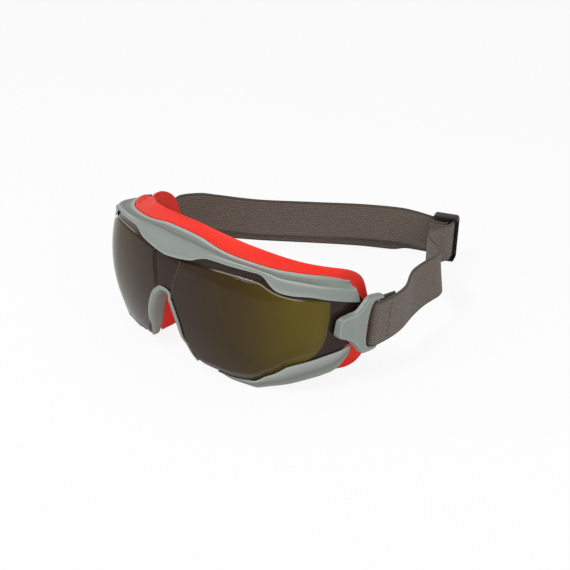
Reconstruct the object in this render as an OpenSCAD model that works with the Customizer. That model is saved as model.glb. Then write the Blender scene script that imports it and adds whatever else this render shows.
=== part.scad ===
// Sealed wraparound welding goggles with a pivoting elastic head strap.
// X is the wearer's left, Y runs from the lens to the back of the head, Z is up.
// z = 0 is the surface that the goggles rest on.

/* [Shield] */
// Radius of the face's front, seen from above
front_r = 150; // [130:1:180]
// Half width of the front arc, where the side corners start
front_half_w = 45; // [42:0.5:48]
// Radius of the side corners, seen from above
corner_r = 53; // [50:0.5:56]
// Direction of the temples, from straight across
temple_turn = 85; // [82:0.5:86]
// Thickness of the lens
lens_t = 2; // [1.6:0.1:2.4]
// How far the lens bows forward between its top and bottom edges
lens_crown = 5.2; // [4:0.2:5.6]
// How far the eye bulges stand out of the lens
bulge_step = 1.2; // [0.8:0.1:1.6]

/* [Frame] */
// Height of the nose arch above the resting surface
nose_h = 39; // [38:0.2:42]
// Wall of the grey frame pieces
frame_t = 2; // [1.6:0.1:2.4]
// How far the front faces of the frame stand out of the lens flange
frame_proud = 2.6; // [2.4:0.1:3]
// Depth of the lens carrier behind the lens flange
carrier_d = 6.2; // [5:0.2:7]
// Thickness of the carrier's wall
carrier_t = 2.2; // [1.8:0.1:2.6]
// How far the brow and cheek faces stand out of the lens flange towards the temples
side_proud = 1.2; // [1.1:0.1:1.5]
// Depth of the grey wall that lines the nose notch, behind the lens flange
nose_wall_d = 1.6; // [1.2:0.1:2]
// Thickness of the soft seal's wall
seal_t = 1.6; // [1.2:0.1:2]

/* [Clip and pivot] */
// Distance of the pivot behind the lens front
pivot_y = 44.6; // [43.6:0.2:45.6]
// Height of the pivot below the top of the nose arch
pivot_drop = 5; // [4:0.2:6]
// Droop of the strap below level, at rest
clip_droop = 8; // [4:1:10]
// Radius of the pivot pin
pin_r = 2.6; // [2.2:0.1:2.8]
// Wall round the pivot bore
boss_wall = 1.9; // [1.6:0.1:2.4]
// Thickness of the clip plate
clip_t = 3.2; // [2.8:0.1:3.6]
// Depth of the pin's seat in the clip
pin_seat = 2; // [1.6:0.1:2.2]
// Gap between the clip's tongue and the lens
tongue_gap = 1.6; // [1.4:0.1:2]
// Distance from the pivot to the strap bar
bar_reach = 14; // [13.6:0.1:14.6]
// Radius of the strap bar
bar_r = 1.25; // [1:0.05:1.4]
// Thickness of the retaining ring
retainer_t = 1.2; // [1:0.1:1.6]
// Wall of the retaining ring
retainer_wall = 2; // [1.5:0.1:2.4]

/* [Strap] */
// Reach of the strap behind the pivots
strap_reach = 149.8; // [140:1:170]
// Width of the webbing
strap_w = 25; // [24:0.5:26]
// Thickness of the webbing
strap_t = 1.3; // [1:0.1:1.5]
// Length of the slider along the strap
slider_len = 15; // [13:0.5:17]
// Width of each end bar of the slider
slider_bar_w = 3; // [2.5:0.1:3.5]
// Thickness of the slider's rails above and below the webbing
slider_rail = 1.6; // [1.4:0.1:2.2]
// Radius of the slider's centre bar
slider_pin_r = 1; // [0.8:0.05:1.2]

/* [Fits] */
// Radial clearance of the pivot pin in its boss
run_gap = 0.05; // [0.03:0.01:0.09]
// Gap between pieces that turn or slide past each other
side_gap = 0.4; // [0.3:0.05:0.6]
// Gap round the webbing
strap_gap = 0.3; // [0.25:0.05:0.4]
// Gap between pieces that sit against each other
seat_gap = 0.2; // [0.1:0.05:0.3]

/* [Hidden] */

GREY = "#8c948c";
RED = "#e83a2c";
DARK = "#2b2a20";
TAUPE = "#6e655c";
BLACK = "#1a1a1a";
STEEL = "#b0b4b8";
deg = 180 / PI;
eps = 0.01;

// ---------- the face: a wall of two arcs and a straight temple, seen from above ----------
front_turn = asin(front_half_w / front_r);
front_len = front_r * front_turn / deg;
corner_len = corner_r * (temple_turn - front_turn) / deg;
corner_start = [front_half_w, front_r * (1 - cos(front_turn))];
temple_start = corner_start + corner_r * [sin(temple_turn) - sin(front_turn), cos(front_turn) - cos(temple_turn)];

// Direction of the wall at distance s along it from the middle
function turn_at(s) =
    s < front_len ? s / front_r * deg
    : s < front_len + corner_len ? front_turn + (s - front_len) / corner_r * deg
    : temple_turn;
function foot_at(s, t) =
    s < front_len ? front_r * [sin(t), 1 - cos(t)]
    : s < front_len + corner_len
        ? corner_start + corner_r * [sin(t) - sin(front_turn), cos(front_turn) - cos(t)]
    : temple_start + (s - front_len - corner_len) * [cos(t), sin(t)];
// Point at distance s along the wall, d outside it and h above the nose arch
function on_wall(s, d, h) =
    let (a = abs(s), t = turn_at(a), p = foot_at(a, t) + d * [sin(t), -cos(t)])
    [(s < 0 ? -1 : 1) * p.x, p.y, h + nose_h];

// ---------- smooth curves through a few points ----------
function slope(pts, i) =
    let (a = max(i - 1, 0), b = min(i + 1, len(pts) - 1)) (pts[b] - pts[a]) / (pts[b][0] - pts[a][0]);
function find_span(pts, x, i = 0) = i >= len(pts) - 2 || x < pts[i + 1][0] ? i : find_span(pts, x, i + 1);
function hermite(p, q, m, n, w, u) =
    (2 * u * u * u - 3 * u * u + 1) * p + (u * u * u - 2 * u * u + u) * w * m
    + (3 * u * u - 2 * u * u * u) * q + (u * u * u - u * u) * w * n;
// Value at x of a curve through [x, y] points
function along(x, pts) =
    let (i = find_span(pts, x), p = pts[i], q = pts[i + 1], w = q[0] - p[0],
         u = min(max((x - p[0]) / w, 0), 1))
    hermite(p, q, slope(pts, i), slope(pts, i + 1), w, u)[1];
function mix(a, b, w) = a + (b - a) * w;
function ramp(x, a, b) = let (u = min(max((x - a) / (b - a), 0), 1)) u * u * (3 - 2 * u);
// Catmull-Rom curve through pts, with n steps a span
function curve(pts, n) = [
    for (i = [0 : len(pts) - 2], k = [0 : n - (i == len(pts) - 2 ? 0 : 1)])
        let (a = pts[max(i - 1, 0)], p = pts[i], q = pts[i + 1], b = pts[min(i + 2, len(pts) - 1)])
        hermite(p, q, (q - a) / 2, (b - p) / 2, 1, k / n)];
function flipped(pts) = [for (i = [len(pts) - 1 : -1 : 0]) pts[i]];

// ---------- solids from rings of points ----------
// Every ring has as many points; the rings run clockwise seen from the first one
module skin(rings, closed = false) {
    n = len(rings[0]);
    m = len(rings);
    sides = [
        for (i = [0 : m - (closed ? 1 : 2)], j = [0 : n - 1])
            let (a = i * n + j, b = i * n + (j + 1) % n, c = ((i + 1) % m) * n + (j + 1) % n,
                 d = ((i + 1) % m) * n + j)
            each [[a, b, c], [a, c, d]]];
    far = (m - 1) * n;
    ends = closed ? [] : [
        for (j = [0 : ceil(n / 2) - 2])
            let (k = n - 1 - j)
            each [[k, j + 1, j], [far + k, far + j, far + j + 1],
                  if (k - 1 > j + 1) [k, k - 1, j + 1], if (k - 1 > j + 1) [far + k, far + j + 1, far + k - 1]]];
    polyhedron([for (r = rings) each r], concat(sides, ends), convexity = 8);
}
// Stations along the wall, closer where the spacing list asks for it
function both_sides(half) = concat([for (s = flipped(half)) -s], [for (i = [1 : len(half) - 1]) half[i]]);

// ---------- edges of the front pieces, as [distance along the wall, height] ----------
brow_low = [[0, 22.7], [10, 23.7], [18.6, 25.4], [22.5, 27.2], [27, 28.3], [40, 27.9], [52, 27.3], [57, 26.1],
            [60.3, 22.4], [64, 19.2], [70, 17.4], [79.7, 15.6], [88.9, 12], [98.5, 8.6], [107.6, 5.4]];
brow_front = [[0, 27], [18, 29], [27, 30.4], [40, 30.3], [50, 29.6], [60, 27.3], [65.2, 25.2], [75.9, 22.5],
              [89.2, 18.4], [95.6, 16.4], [105, 13.4]];
brow_top = [[0, 32.3], [14, 31.7], [24, 30.2], [31, 29.2], [40.6, 28.2], [49, 27.4], [60, 25.8], [73.8, 23.8],
            [89.8, 21], [97, 19.2], [107.6, 16.6]];
brow_depth = [[0, 11.2], [14, 10.8], [26, 9.4], [38, 8.6], [72, 8.4], [88, 7.6], [97, 6.4], [107.6, 5]];
roof_t = 1.5;
lens_top_gap = 0.9;
lens_top = concat([for (p = brow_front) [p[0], p[1] - roof_t - lens_top_gap]], [[110, 6]]);
lens_low = [[0, 4.2], [3.5, 3.4], [6.5, 0], [8.8, -5], [11.3, -12], [13.4, -21], [15.5, -28], [19, -33.2],
            [24, -34.8], [32, -35.4], [40, -36], [48, -35], [57, -33.4], [67, -27.6], [80, -22.4],
            [92, -19.6], [100, -17.6], [106, -15], [110, -10.5]];
lens_stations = both_sides([0, 2, 3.5, 5, 6.5, 7.6, 8.8, 10, 11.3, 12.4, 13.4, 14.4, 15.5, 17, 19, 21.5, 24, 28,
                            32, 36, 40, 44, 48, 52, 55, 57.5, 59, 60.8, 62.5, 66, 71, 76, 80, 84, 88, 92, 96, 100,
                            103, 106, 108, 110]);
lens_rows = 9;
crown_mid = -6;
crown_half = 30;
// Edge of the eye bulges: under the brow, beside the nose, and at the temple
bulge_top = [[0, 22], [17, 23], [35, 23.6], [49, 23.1], [56, 22], [60, 19.8], [64, 17.8], [70, 16], [81, 13.4],
             [92, 9.6], [110, 5]];
bulge_nose = [[-36, 22], [-20, 11.8], [0, 4.4], [20, 8.6], [26, 9.5]];
bulge_end = 88;
function crown(s, h) =
    lens_crown * max(0, 1 - pow((h - crown_mid) / crown_half, 2)) * (1 - ramp(abs(s), 68, 94));
function bulge(s, h) =
    bulge_step * ramp(along(abs(s), bulge_top) - h, 0, 1.5) * ramp(abs(s) - along(h, bulge_nose), 0, 2)
    * (1 - ramp(abs(s), bulge_end - 12, bulge_end)) * ramp(h - along(abs(s), cheek_up), 1.6, 6);
function lens_out(s, h) = crown(s, h) + bulge(s, h);
// Height of row k of the lens: the last rows run along the top of the bulge and the top edge
function lens_h(s, k) =
    let (a = abs(s), low = along(a, lens_low), step_h = along(a, bulge_top))
    k == lens_rows ? along(a, lens_top) : k == lens_rows - 1 ? step_h + 0.1 : mix(low, step_h - 1.5, k / (lens_rows - 2));
function lens_ring(s) = concat(
    [for (k = [0 : lens_rows]) let (h = lens_h(s, k)) on_wall(s, lens_out(s, h), h)],
    [for (k = [lens_rows : -1 : 0]) let (h = lens_h(s, k)) on_wall(s, lens_out(s, h) - lens_t, h)]);

module lens()
    color(DARK)
    difference() {
        in_frame() skin([for (s = lens_stations) lens_ring(s)]);
        for (side = [-1, 1])
            pivot_rod(side, boss_r + seat_gap, lens_in_x - 3, boss_out_x + 3);
    }

// ---------- lens carrier: a ring behind the lens ----------
carrier_half = [[0, 23.2], [20, 23.2], [40, 23.2], [54, 22.8], [62, 20], [70, 17.6], [79, 15.4], [86, 11.8],
                [89.2, 6], [89.8, -1], [89.2, -8], [86, -14.4], [79, -17.6], [70, -22], [62, -27.5], [54, -31.4],
                [47, -33.2], [40, -34.2], [31, -34], [24.5, -32.8], [20.5, -29.5], [17.4, -24], [15.2, -17],
                [13.6, -10.5], [10.8, -3.5], [6.5, 3.6], [0, 6.4]];
// Whole loop from its right half, in an order that goes round once
function loop_of(half) = concat(half, [for (i = [len(half) - 2 : -1 : 1]) let (p = half[i]) concat([-p[0]], [for (k = [1 : len(p) - 1]) p[k]])]);
function around(pts, n) = [
    for (i = [0 : len(pts) - 1], k = [0 : n - 1])
        let (m = len(pts), a = pts[(i + m - 1) % m], p = pts[i], q = pts[(i + 1) % m], b = pts[(i + 2) % m])
        hermite(p, q, (q - a) / 2, (b - p) / 2, 1, k / n)];
// Unit vector out of the loop at point i, in the wall's own plane
function outward(loop, i) =
    let (m = len(loop), a = loop[(i + m - 1) % m], b = loop[(i + 1) % m], t = [b[0] - a[0], b[1] - a[1]])
    [-t[1], t[0]] / norm(t);
carrier_loop = around(loop_of(carrier_half), 2);
carrier_side_d = 2.2;
carrier_side = [79, 86];
// Back of the carrier, shallower and thinner beside the temples
function carrier_back(s) = -lens_t - mix(carrier_d, carrier_side_d, ramp(abs(s), carrier_side[0], carrier_side[1]));
function carrier_ring(i) =
    let (p = carrier_loop[i], n = outward(carrier_loop, i),
         q = p - carrier_t * (1 - 0.4 * ramp(abs(p[0]), carrier_side[0], carrier_side[1])) * n)
    [on_wall(p[0], crown(p[0], p[1]) - lens_t - seat_gap, p[1]), on_wall(p[0], carrier_back(p[0]), p[1]),
     on_wall(q[0], carrier_back(p[0]), q[1]), on_wall(q[0], crown(q[0], q[1]) - lens_t - seat_gap, q[1])];

module lens_carrier()
    color(DARK) in_frame() skin([for (i = [0 : len(carrier_loop) - 1]) carrier_ring(i)], closed = true);

// ---------- brow frame ----------
brow_stations = both_sides([0, 4, 8, 12, 16, 19.5, 21, 22.5, 25, 30, 36, 43, 50, 55, 57.5, 59, 60.8, 62.5, 65, 69, 74,
                            79, 84, 89, 94, 99, 103.5, 107.6]);
brow_groove = 0.7;
ridge_d = 0.45;
// Lean of the brow's ends, as run over rise
brow_end_lean = 0.3;
function brow_ring(s) =
    let (a = abs(s), low = along(a, brow_low), front = along(a, brow_front), top = along(a, brow_top),
         back = -along(a, brow_depth), lens_d = lens_out(s, low), out = lens_d + mix(frame_proud, side_proud, ramp(a, 18, 30)),
         rise = top - front, lean = brow_end_lean * ramp(a, 94, 107.6) * sign(s), notch = ramp(a, 18, 26) * (1 - ramp(a, 54, 62)), groove = brow_groove * (1 - 0.6 * notch))
    [for (q = [[out, low], [mix(out, ridge_d, 0.5), mix(low, front, 0.75)], [ridge_d, front],
               [ridge_d - 1.4, front + 0.25 * rise - groove], [ridge_d - 3.5, front + 0.5 * rise - groove],
               [back + 1.2, top], [back, top],
               [back, top - frame_t], [-4.4, front + 0.5 * rise - mix(frame_t, roof_t, notch)],
               [max(lens_d, lens_out(s, front - roof_t)) + seat_gap + 0.2, front - roof_t], [lens_d + seat_gap + 0.2, low]])
        on_wall(s - lean * (q[1] - low), q[0], q[1])];

module brow_frame()
    color(GREY) in_frame() skin([for (s = brow_stations) brow_ring(s)]);

// ---------- cheek frames ----------
cheek_up = [[30, -37], [40, -37.4], [48, -36], [53, -34.4], [56, -32.2], [58, -30.3], [63, -27.2], [66.3, -24.6],
            [69, -22.4], [74.4, -20.8], [83.7, -19.8], [96, -19], [103, -17.4]];
cheek_low = [[30, -38], [35, -39], [42, -40], [52, -39.4], [60.4, -37], [70.4, -34.8], [78.6, -32.8], [87.2, -31.2],
             [92.6, -30], [96.9, -27.6], [100, -24.6], [103, -21.4]];
cheek_end = 102.4;
cheek_stations = [30, 33, 36, 40, 44, 48, 51, 53, 55, 57, 59.5, 62, 66, 70, 75, 80, 85, 90, 95, 99, cheek_end];
cheek_shelf = -8;
cheek_end_shelf = -4.6;
cheek_shelf_t = 0.8;
cheek_wall_t = 1.4;
// Front of the cheek under the lens, and at the foot of its face
cheek_recess = -0.4;
cheek_foot = 0.8;
cheek_crease = 0.55;
function cheek_ring(s) =
    let (low = max(-nose_h, along(s, cheek_low)), up = max(along(s, cheek_up), low + 0.5),
         lens_edge = along(s, lens_low) - seat_gap, lap = ramp(up - lens_edge, -1.5, 0),
         out = mix(cheek_recess, lens_out(s, up) + side_proud, lap), foot = mix(cheek_recess, cheek_foot, lap),
         skirt = out - mix(frame_t - 0.6, side_proud - seat_gap - 0.2, lap),
         lens_row = min(lens_edge - 0.1, up - 0.2),
         skirt_low = mix(skirt, lens_out(s, lens_row + 0.6) + seat_gap + 0.4, lap),
         floor_h = min(low, lens_edge - 0.9), shelf_h = floor_h + cheek_shelf_t,
         shelf_d = mix(cheek_shelf, cheek_end_shelf, ramp(s, cheek_end - 8, cheek_end)),
         wall_h = max(shelf_h, mix(lens_edge + 0.8, shelf_h, ramp(s, 84, 92))))
    [for (q = [[out, up], [mix(out, foot, 0.3), mix(up, low, cheek_crease)], [foot, low], [foot - 1.2, floor_h],
               [shelf_d, floor_h], [shelf_d, wall_h], [shelf_d + cheek_wall_t, wall_h], [shelf_d + cheek_wall_t, shelf_h],
               [foot - 1.2, min(lens_edge - 0.1, shelf_h)], [skirt_low, lens_row], [skirt, up]])
        on_wall(s, q[0], q[1])];
module cheek() skin([for (s = cheek_stations) flipped(cheek_ring(s))]);

module cheek_frame_left()
    color(GREY) in_frame() cheek();
module cheek_frame_right()
    color(GREY) in_frame() mirror([1, 0, 0]) cheek();

// ---------- nose bridge ----------
notch_end = 19;
notch_path = [for (a = lens_stations) if (abs(a) <= notch_end) [-a, along(abs(a), lens_low)]];
function notch_side(i) =
    let (a = notch_path[max(i - 1, 0)], b = notch_path[min(i + 1, len(notch_path) - 1)], t = b - a)
    [t[1], -t[0]] / norm(t);
function bridge_ring(i) =
    let (p = notch_path[i], n = notch_side(i), out = lens_out(p[0], p[1]) + seat_gap, lip = mix(0.35, 1.1, ramp(p[1], -26, -8)),
         wall = mix(0.9, frame_t, ramp(p[1], -28, -14)))
    [for (q = [[-seat_gap, -nose_wall_d], [-seat_gap, out], [lip, out + 0.25],
               [lip - 0.3, out + 0.8], [-0.6 * wall, out + 0.8], [-seat_gap - wall, out - 0.4 * wall],
               [-seat_gap - wall, -nose_wall_d]])
        on_wall(p[0] + q[0] * n[0], q[1], p[1] + q[0] * n[1])];

module nose_bridge()
    color(GREY) in_frame() skin([for (i = [0 : len(notch_path) - 1]) bridge_ring(i)]);

// ---------- face seal ----------
nose_seal_d = nose_wall_d + seat_gap;
// How far the seal's wall bows inwards between its base and its rim
seal_bow = 0.6;
// [distance along the wall, height, distance outside the wall]
seal_base_half = [[0, 23, -9], [20, 23, -9], [40, 23, -9], [56, 22.2, -9], [68, 18.6, -9], [80, 16, -9],
                  [92, 12.6, -8], [101, 9.4, -6.8], [108, 5, -6.4], [110.5, 0, -6.4], [110.5, -8, -6.4],
                  [107, -14, -6.4], [100, -17, -7], [90, -19, -9], [79, -21, -9], [68, -26.5, -9],
                  [56, -31.5, -9], [45, -34, -9], [33, -34.4, -9], [24, -33.4, -8.8], [18.4, -32.4, -5.4], [14.6, -29.6, -nose_seal_d - 0.3],
                  [11.8, -20.5, -nose_seal_d],
                  [9.4, -11.5, -nose_seal_d], [6, -3.2, -nose_seal_d], [0, 1.9, -nose_seal_d]];
seal_rim_half = [[0, 33.6, -20], [20, 32.4, -20], [40, 29.8, -20.5], [58, 27.6, -20.5], [74, 25.2, -19],
                 [87, 23.6, -15.5], [100, 21.2, -12.5], [110, 18.4, -10], [118, 12.4, -9], [121.8, 3.4, -8.6],
                 [125.4, -13, -8.4], [124.8, -26.6, -8], [118.2, -35.4, -7.8], [109.6, -39, -9.4], [93, -39, -14],
                 [76, -39, -19], [58, -39, -22], [44, -39, -23], [32, -38, -23], [23.5, -35.4, -22],
                 [20, -33, -21.8], [17, -28.5, -21.5], [13.6, -20.5, -21.5], [11, -12, -21.5], [6.6, -4.4, -21.5],
                 [0, -1.2, -21.5]];
seal_base = around(loop_of(seal_base_half), 2);
seal_rim = around(loop_of(seal_rim_half), 2);
function seal_ring(i) =
    let (b = seal_base[i], r = [seal_rim[i][0], max(seal_rim[i][1], -nose_h), seal_rim[i][2]],
         n = concat(outward(seal_base, i), [0]), a = abs(b[0]),
         run = [(r - b) * n, r[2] - b[2]], inward = (run[1] * n - [0, 0, run[0]]) / norm(run),
         w = b[1] > 6 ? 1 - ramp(a, 92, 104) : 0,
         top = along(a, brow_top), back = -along(a, brow_depth) - seat_gap,
         plain = [mix(b, r, 0.1), mix(b, r, 0.25), mix(b, r, 0.4), mix(b, r, 0.6) + seal_bow * inward, r],
         shaped = [[b[0], top - frame_t - 0.4, back], [b[0], top + 0.5, back], [b[0], top + 0.5, back - 1],
                   [b[0], top - 1.4, back - 3], r],
         outer = [for (k = [0 : 4]) mix(plain[k], shaped[k], w)],
         inner = [r + 0.8 * seal_t * inward, mix(plain[3], [b[0], top - 1.4 - seal_t, back - 3], w) + mix(seal_t, 0, w) * inward,
                  mix(plain[1], [b[0], top - frame_t - 1.2, back - 1.4], w) + mix(seal_t, 0.6, w) * inward, b + seal_t * inward])
    [for (q = concat([b], outer, inner)) on_wall(q[0], q[2], q[1])];

module face_seal()
    color(RED) in_frame() skin([for (i = [0 : len(seal_base) - 1]) seal_ring(i)], closed = true);

// ---------- pivots ----------
pivot_h = nose_h - pivot_drop;
pivot_turn = acos(cos(front_turn) - (pivot_y - corner_start.y) / corner_r);
pivot_s = front_len + corner_r * (pivot_turn - front_turn) / deg;
boss_r = pin_r + run_gap + boss_wall;
lens_out_x = on_wall(pivot_s, 0, 0).x;
lens_in_x = lens_out_x - lens_t;
clip_in_x = lens_out_x + tongue_gap;
boss_out_x = clip_in_x - side_gap - boss_r * tan(90 - pivot_turn);
boss_in_x = lens_in_x - 4.4;
retainer_x = boss_in_x - side_gap - retainer_t;
pin_in_x = retainer_x - 0.6;
pin_out_x = clip_in_x + pin_seat;

module in_frame() translate([0, -(front_y + back_y) / 2, 0]) children();
module pivot_rod(side, r, x0, x1)
    in_frame() translate([side * x0, pivot_y, pivot_h]) rotate([0, side * 90, 0]) cylinder(r = r, h = x1 - x0, $fn = 48);
module ring_rod(side, r_in, r_out, x0, x1)
    difference() {
        pivot_rod(side, r_out, x0, x1);
        pivot_rod(side, r_in, x0 - 1, x1 + 1);
    }

plate_start = 90.4;
plate_end = 110;
plate_outline = [[0, 11], [0.36, 9.2], [0.72, 6.8], [1, 2.4], [1, -9], [0.8, -12], [0.36, -14], [0, -15.4]];
plate_y = [on_wall(plate_start, 0, 0).y, on_wall(plate_end, 0, 0).y];
// Upright wall that follows the face from s0 to s1, between two offsets
module band(s0, s1, d0, d1, n = 8)
    linear_extrude(height = 2 * nose_h)
    polygon(concat([for (k = [0 : n]) let (p = on_wall(mix(s0, s1, k / n), d0, 0)) [p.x, p.y]],
                   [for (k = [n : -1 : 0]) let (p = on_wall(mix(s0, s1, k / n), d1, 0)) [p.x, p.y]]));
// Outline drawn in [y, z] and pushed along X
module side_cut(pts, x0, x1)
    translate([x0, 0, 0]) rotate([90, 0, 90]) linear_extrude(height = x1 - x0) polygon(pts);
module temple_plate(side)
    difference() {
        union() {
            in_frame() mirror([side < 0 ? 1 : 0, 0, 0])
                intersection() {
                    band(plate_start, plate_end, -lens_t - seat_gap, -lens_t - seat_gap - frame_t);
                    side_cut([for (q = plate_outline) [mix(plate_y[0], plate_y[1], q[0]), q[1] + nose_h]],
                             lens_in_x - 16, lens_out_x + 12);
                }
            pivot_rod(side, boss_r, boss_in_x, boss_out_x);
        }
        pivot_rod(side, pin_r + run_gap, boss_in_x - 1, boss_out_x + 1);
    }
module temple_plate_left()
    color(GREY) temple_plate(1);
module temple_plate_right()
    color(GREY) temple_plate(-1);

module pivot_pin_left()
    color(STEEL) pivot_rod(1, pin_r, pin_in_x, pin_out_x);
module pivot_pin_right()
    color(STEEL) pivot_rod(-1, pin_r, pin_in_x, pin_out_x);
module pivot_retainer_left()
    color(STEEL) ring_rod(1, pin_r, pin_r + retainer_wall, retainer_x, retainer_x + retainer_t);
module pivot_retainer_right()
    color(STEEL) ring_rod(-1, pin_r, pin_r + retainer_wall, retainer_x, retainer_x + retainer_t);

// ---------- strap clips ----------
// Upper half of the clip's outline, from the tongue's tip to the arm's end, about the pivot:
// [along the strap, across the strap]
slot_half = strap_w / 2 + strap_gap;
arm_t = 3.3;
arm_end = bar_reach + 3.6;
tip_reach = 8;
clip_half = [[-tip_reach, 0], [-tip_reach, 4], [-tip_reach + 1.6, 5.6], [-2, 7], [0.6, 8.6], [3.6, 12.2],
             [6.4, 15.2], [8.6, slot_half + arm_t], [arm_end - 1.4, slot_half + arm_t - 0.6],
             [arm_end, slot_half + arm_t - 1.8], [arm_end, slot_half]];
slot_front = 8;
slot_half_outline = [[slot_front, 0], [slot_front + 0.2, 6], [slot_front + 1.6, slot_half - 1.6],
                     [slot_front + 3.2, slot_half], [arm_end + 1, slot_half]];
function both_halves(half) = concat(half, [for (p = flipped(half)) [p[0], -p[1]]]);
// The clip's tongue hugs the lens, and its arms pass outside the frame's ends
arm_lift = 1.5;
clip_steps = 10;
clip_s0 = 84;
clip_s1 = 126;
cut_in_x = lens_in_x - 8;
cut_out_x = lens_out_x + 20;
function clip_d(s) = tongue_gap + arm_lift * ramp(s, pivot_s - 1, pivot_s + 3.4);
module clip_plate()
    translate([0, 0, -8])
    linear_extrude(height = 2 * nose_h)
    polygon(concat(
        [for (k = [0 : 2 * clip_steps]) let (s = mix(clip_s0, clip_s1, k / clip_steps / 2), p = on_wall(s, clip_d(s), 0)) [p.x, p.y]],
        [for (k = [2 * clip_steps : -1 : 0]) let (s = mix(clip_s0, clip_s1, k / clip_steps / 2), p = on_wall(s, clip_d(s) + clip_t, 0)) [p.x, p.y]]));
bar_x = on_wall(pivot_s + bar_reach, tongue_gap + arm_lift + clip_t / 2, 0).x;
module about_pivot() translate([0, pivot_y, pivot_h]) rotate([-clip_droop, 0, 0]) children();
module strap_clip(side)
    difference() {
        in_frame() mirror([side < 0 ? 1 : 0, 0, 0])
            union() {
                intersection() {
                    clip_plate();
                    about_pivot() difference() {
                        side_cut(both_halves(clip_half), cut_in_x, cut_out_x);
                        side_cut(both_halves(slot_half_outline), cut_in_x - 1, cut_out_x + 1);
                    }
                }
                about_pivot() translate([bar_x, bar_reach, -slot_half - 1])
                    cylinder(r = bar_r, h = 2 * slot_half + 2, $fn = 32);
            }
        pivot_rod(side, pin_r, lens_in_x, pin_out_x);
    }
module strap_clip_left()
    color(GREY) strap_clip(1);
module strap_clip_right()
    color(GREY) strap_clip(-1);

// ---------- webbing ----------
turn_r = bar_r + strap_gap + strap_t / 2;
bar_at = [bar_x, pivot_y + bar_reach * cos(clip_droop), -pivot_drop - bar_reach * sin(clip_droop)];
fold_steps = 8;
// Webbing round a strap bar, from the side nearer the head to the outer side
function round_bar(side) = [
    for (k = [0 : fold_steps]) let (t = 180 * k / fold_steps)
        [side * (bar_at.x - turn_r * cos(t)), bar_at.y - turn_r * sin(t) * cos(clip_droop),
         bar_at.z + turn_r * sin(t) * sin(clip_droop)]];
// Straight run through the slider
run_turn = 22;
run_dir = [-cos(run_turn), -sin(run_turn), 0];
run_in = [-sin(run_turn), cos(run_turn), 0];
run_start = [47.8, pivot_y + strap_reach, -21.8];
run_len = 44;
slider_u = 3;
slider_out = strap_t / 2 + strap_gap;
slider_bar_t = 1.4;
// Reach of the slider past the place where the webbing turns
slider_near = 0.8;
// Extra room above the webbing in the slider
slider_head = 1;
function on_run(u, v) = run_start + run_dir * u - run_in * v;
// Course of the webbing: [sideways, share of the strap's reach, height]
left_course = [[86.4, 0.259, -9.4], [83.3, 0.345, -9], [81.3, 0.424, -8.8], [80.7, 0.488, -9],
               [79.7, 0.545, -9.8], [76.2, 0.595, -10.8], [67.8, 0.643, -12], [58.4, 0.685, -14.1],
               [51.4, 0.726, -15], [47.9, 0.774, -16.1], [46.4, 0.832, -17.6], [46.5, 0.887, -19.2],
               [46.2, 0.924, -20.4], [45.2, 0.951, -21.2], [43.6, 0.971, -21.7]];
rear_course = [[-13, 0.820, -24.8], [-34, 0.665, -21.7], [-56.8, 0.491, -18.3], [-73, 0.354, -14.4],
               [-82, 0.250, -11.2], [-86, 0.183, -8.8]];
return_course = [[-80, 0.196, -4.8], [-75, 0.276, -5.6], [-69, 0.339, -8], [-53.8, 0.474, -12.9],
                 [-31.4, 0.645, -15.8], [-10.6, 0.800, -18.2]];
function course(pts) = [for (p = pts) [p.x, pivot_y + p.y * strap_reach, p.z]];
fold_len = 17;
seam_u = 8;
seam_gap = 0.1;
left_path = concat(
    [[bar_at.x - 1.4, bar_at.y + fold_len, bar_at.z - 2.2], [bar_at.x - 1.8, bar_at.y + 9, bar_at.z - 1.2],
     [bar_at.x - turn_r + 0.1, bar_at.y + 3, bar_at.z - 0.4]],
    round_bar(1),
    [[bar_at.x + turn_r - 0.2, bar_at.y + 3, bar_at.z - 0.4], [bar_at.x + 1.6, bar_at.y + 9, bar_at.z - 1.2],
     [bar_at.x + 0.6, bar_at.y + fold_len, bar_at.z - 2.2]],
    course(left_course),
    [on_run(seam_u - 2.8, 0.1), on_run(seam_u, 0)]);
return_start = [-bar_at.x + turn_r + 0.2, bar_at.y + 4, bar_at.z - 0.6];
rear_path = concat(
    [on_run(seam_u + seam_gap, 0), on_run(seam_u + 3, 0), on_run(18, 0), on_run(34, 0), on_run(run_len, 0) - [0, 0, 2.4]],
    course(rear_course), [[-bar_at.x - turn_r + 0.2, bar_at.y + 3, bar_at.z - 0.3]],
    flipped(round_bar(-1)),
    [[-bar_at.x + turn_r + 0.1, bar_at.y + 2, bar_at.z - 0.3], return_start - [0, seam_gap, 0]]);
return_gap = 3.3;
pin_v = strap_t / 2 + strap_gap + strap_t + strap_gap + slider_pin_r;
pin_u = slider_len / 2 + slider_u;
wrap_r = slider_pin_r + strap_gap + strap_t / 2;
return_path = concat(
    [return_start, return_start + [0.2, 3, -0.2], return_start + [1, 7, 0]],
    course(return_course),
    [on_run(run_len - 2, return_gap) + [0, 0, 4.2], on_run(30, return_gap - 0.8) + [0, 0, 3.4],
     on_run(pin_u + 4, pin_v - wrap_r) + [0, 0, 0.6]],
    [for (k = [0 : 6]) let (t = 180 * k / 6) on_run(pin_u - wrap_r * sin(t), pin_v - wrap_r * cos(t))],
    [on_run(pin_u + 4, pin_v + wrap_r), on_run(pin_u + 9, pin_v + wrap_r - 0.3)]);
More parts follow.
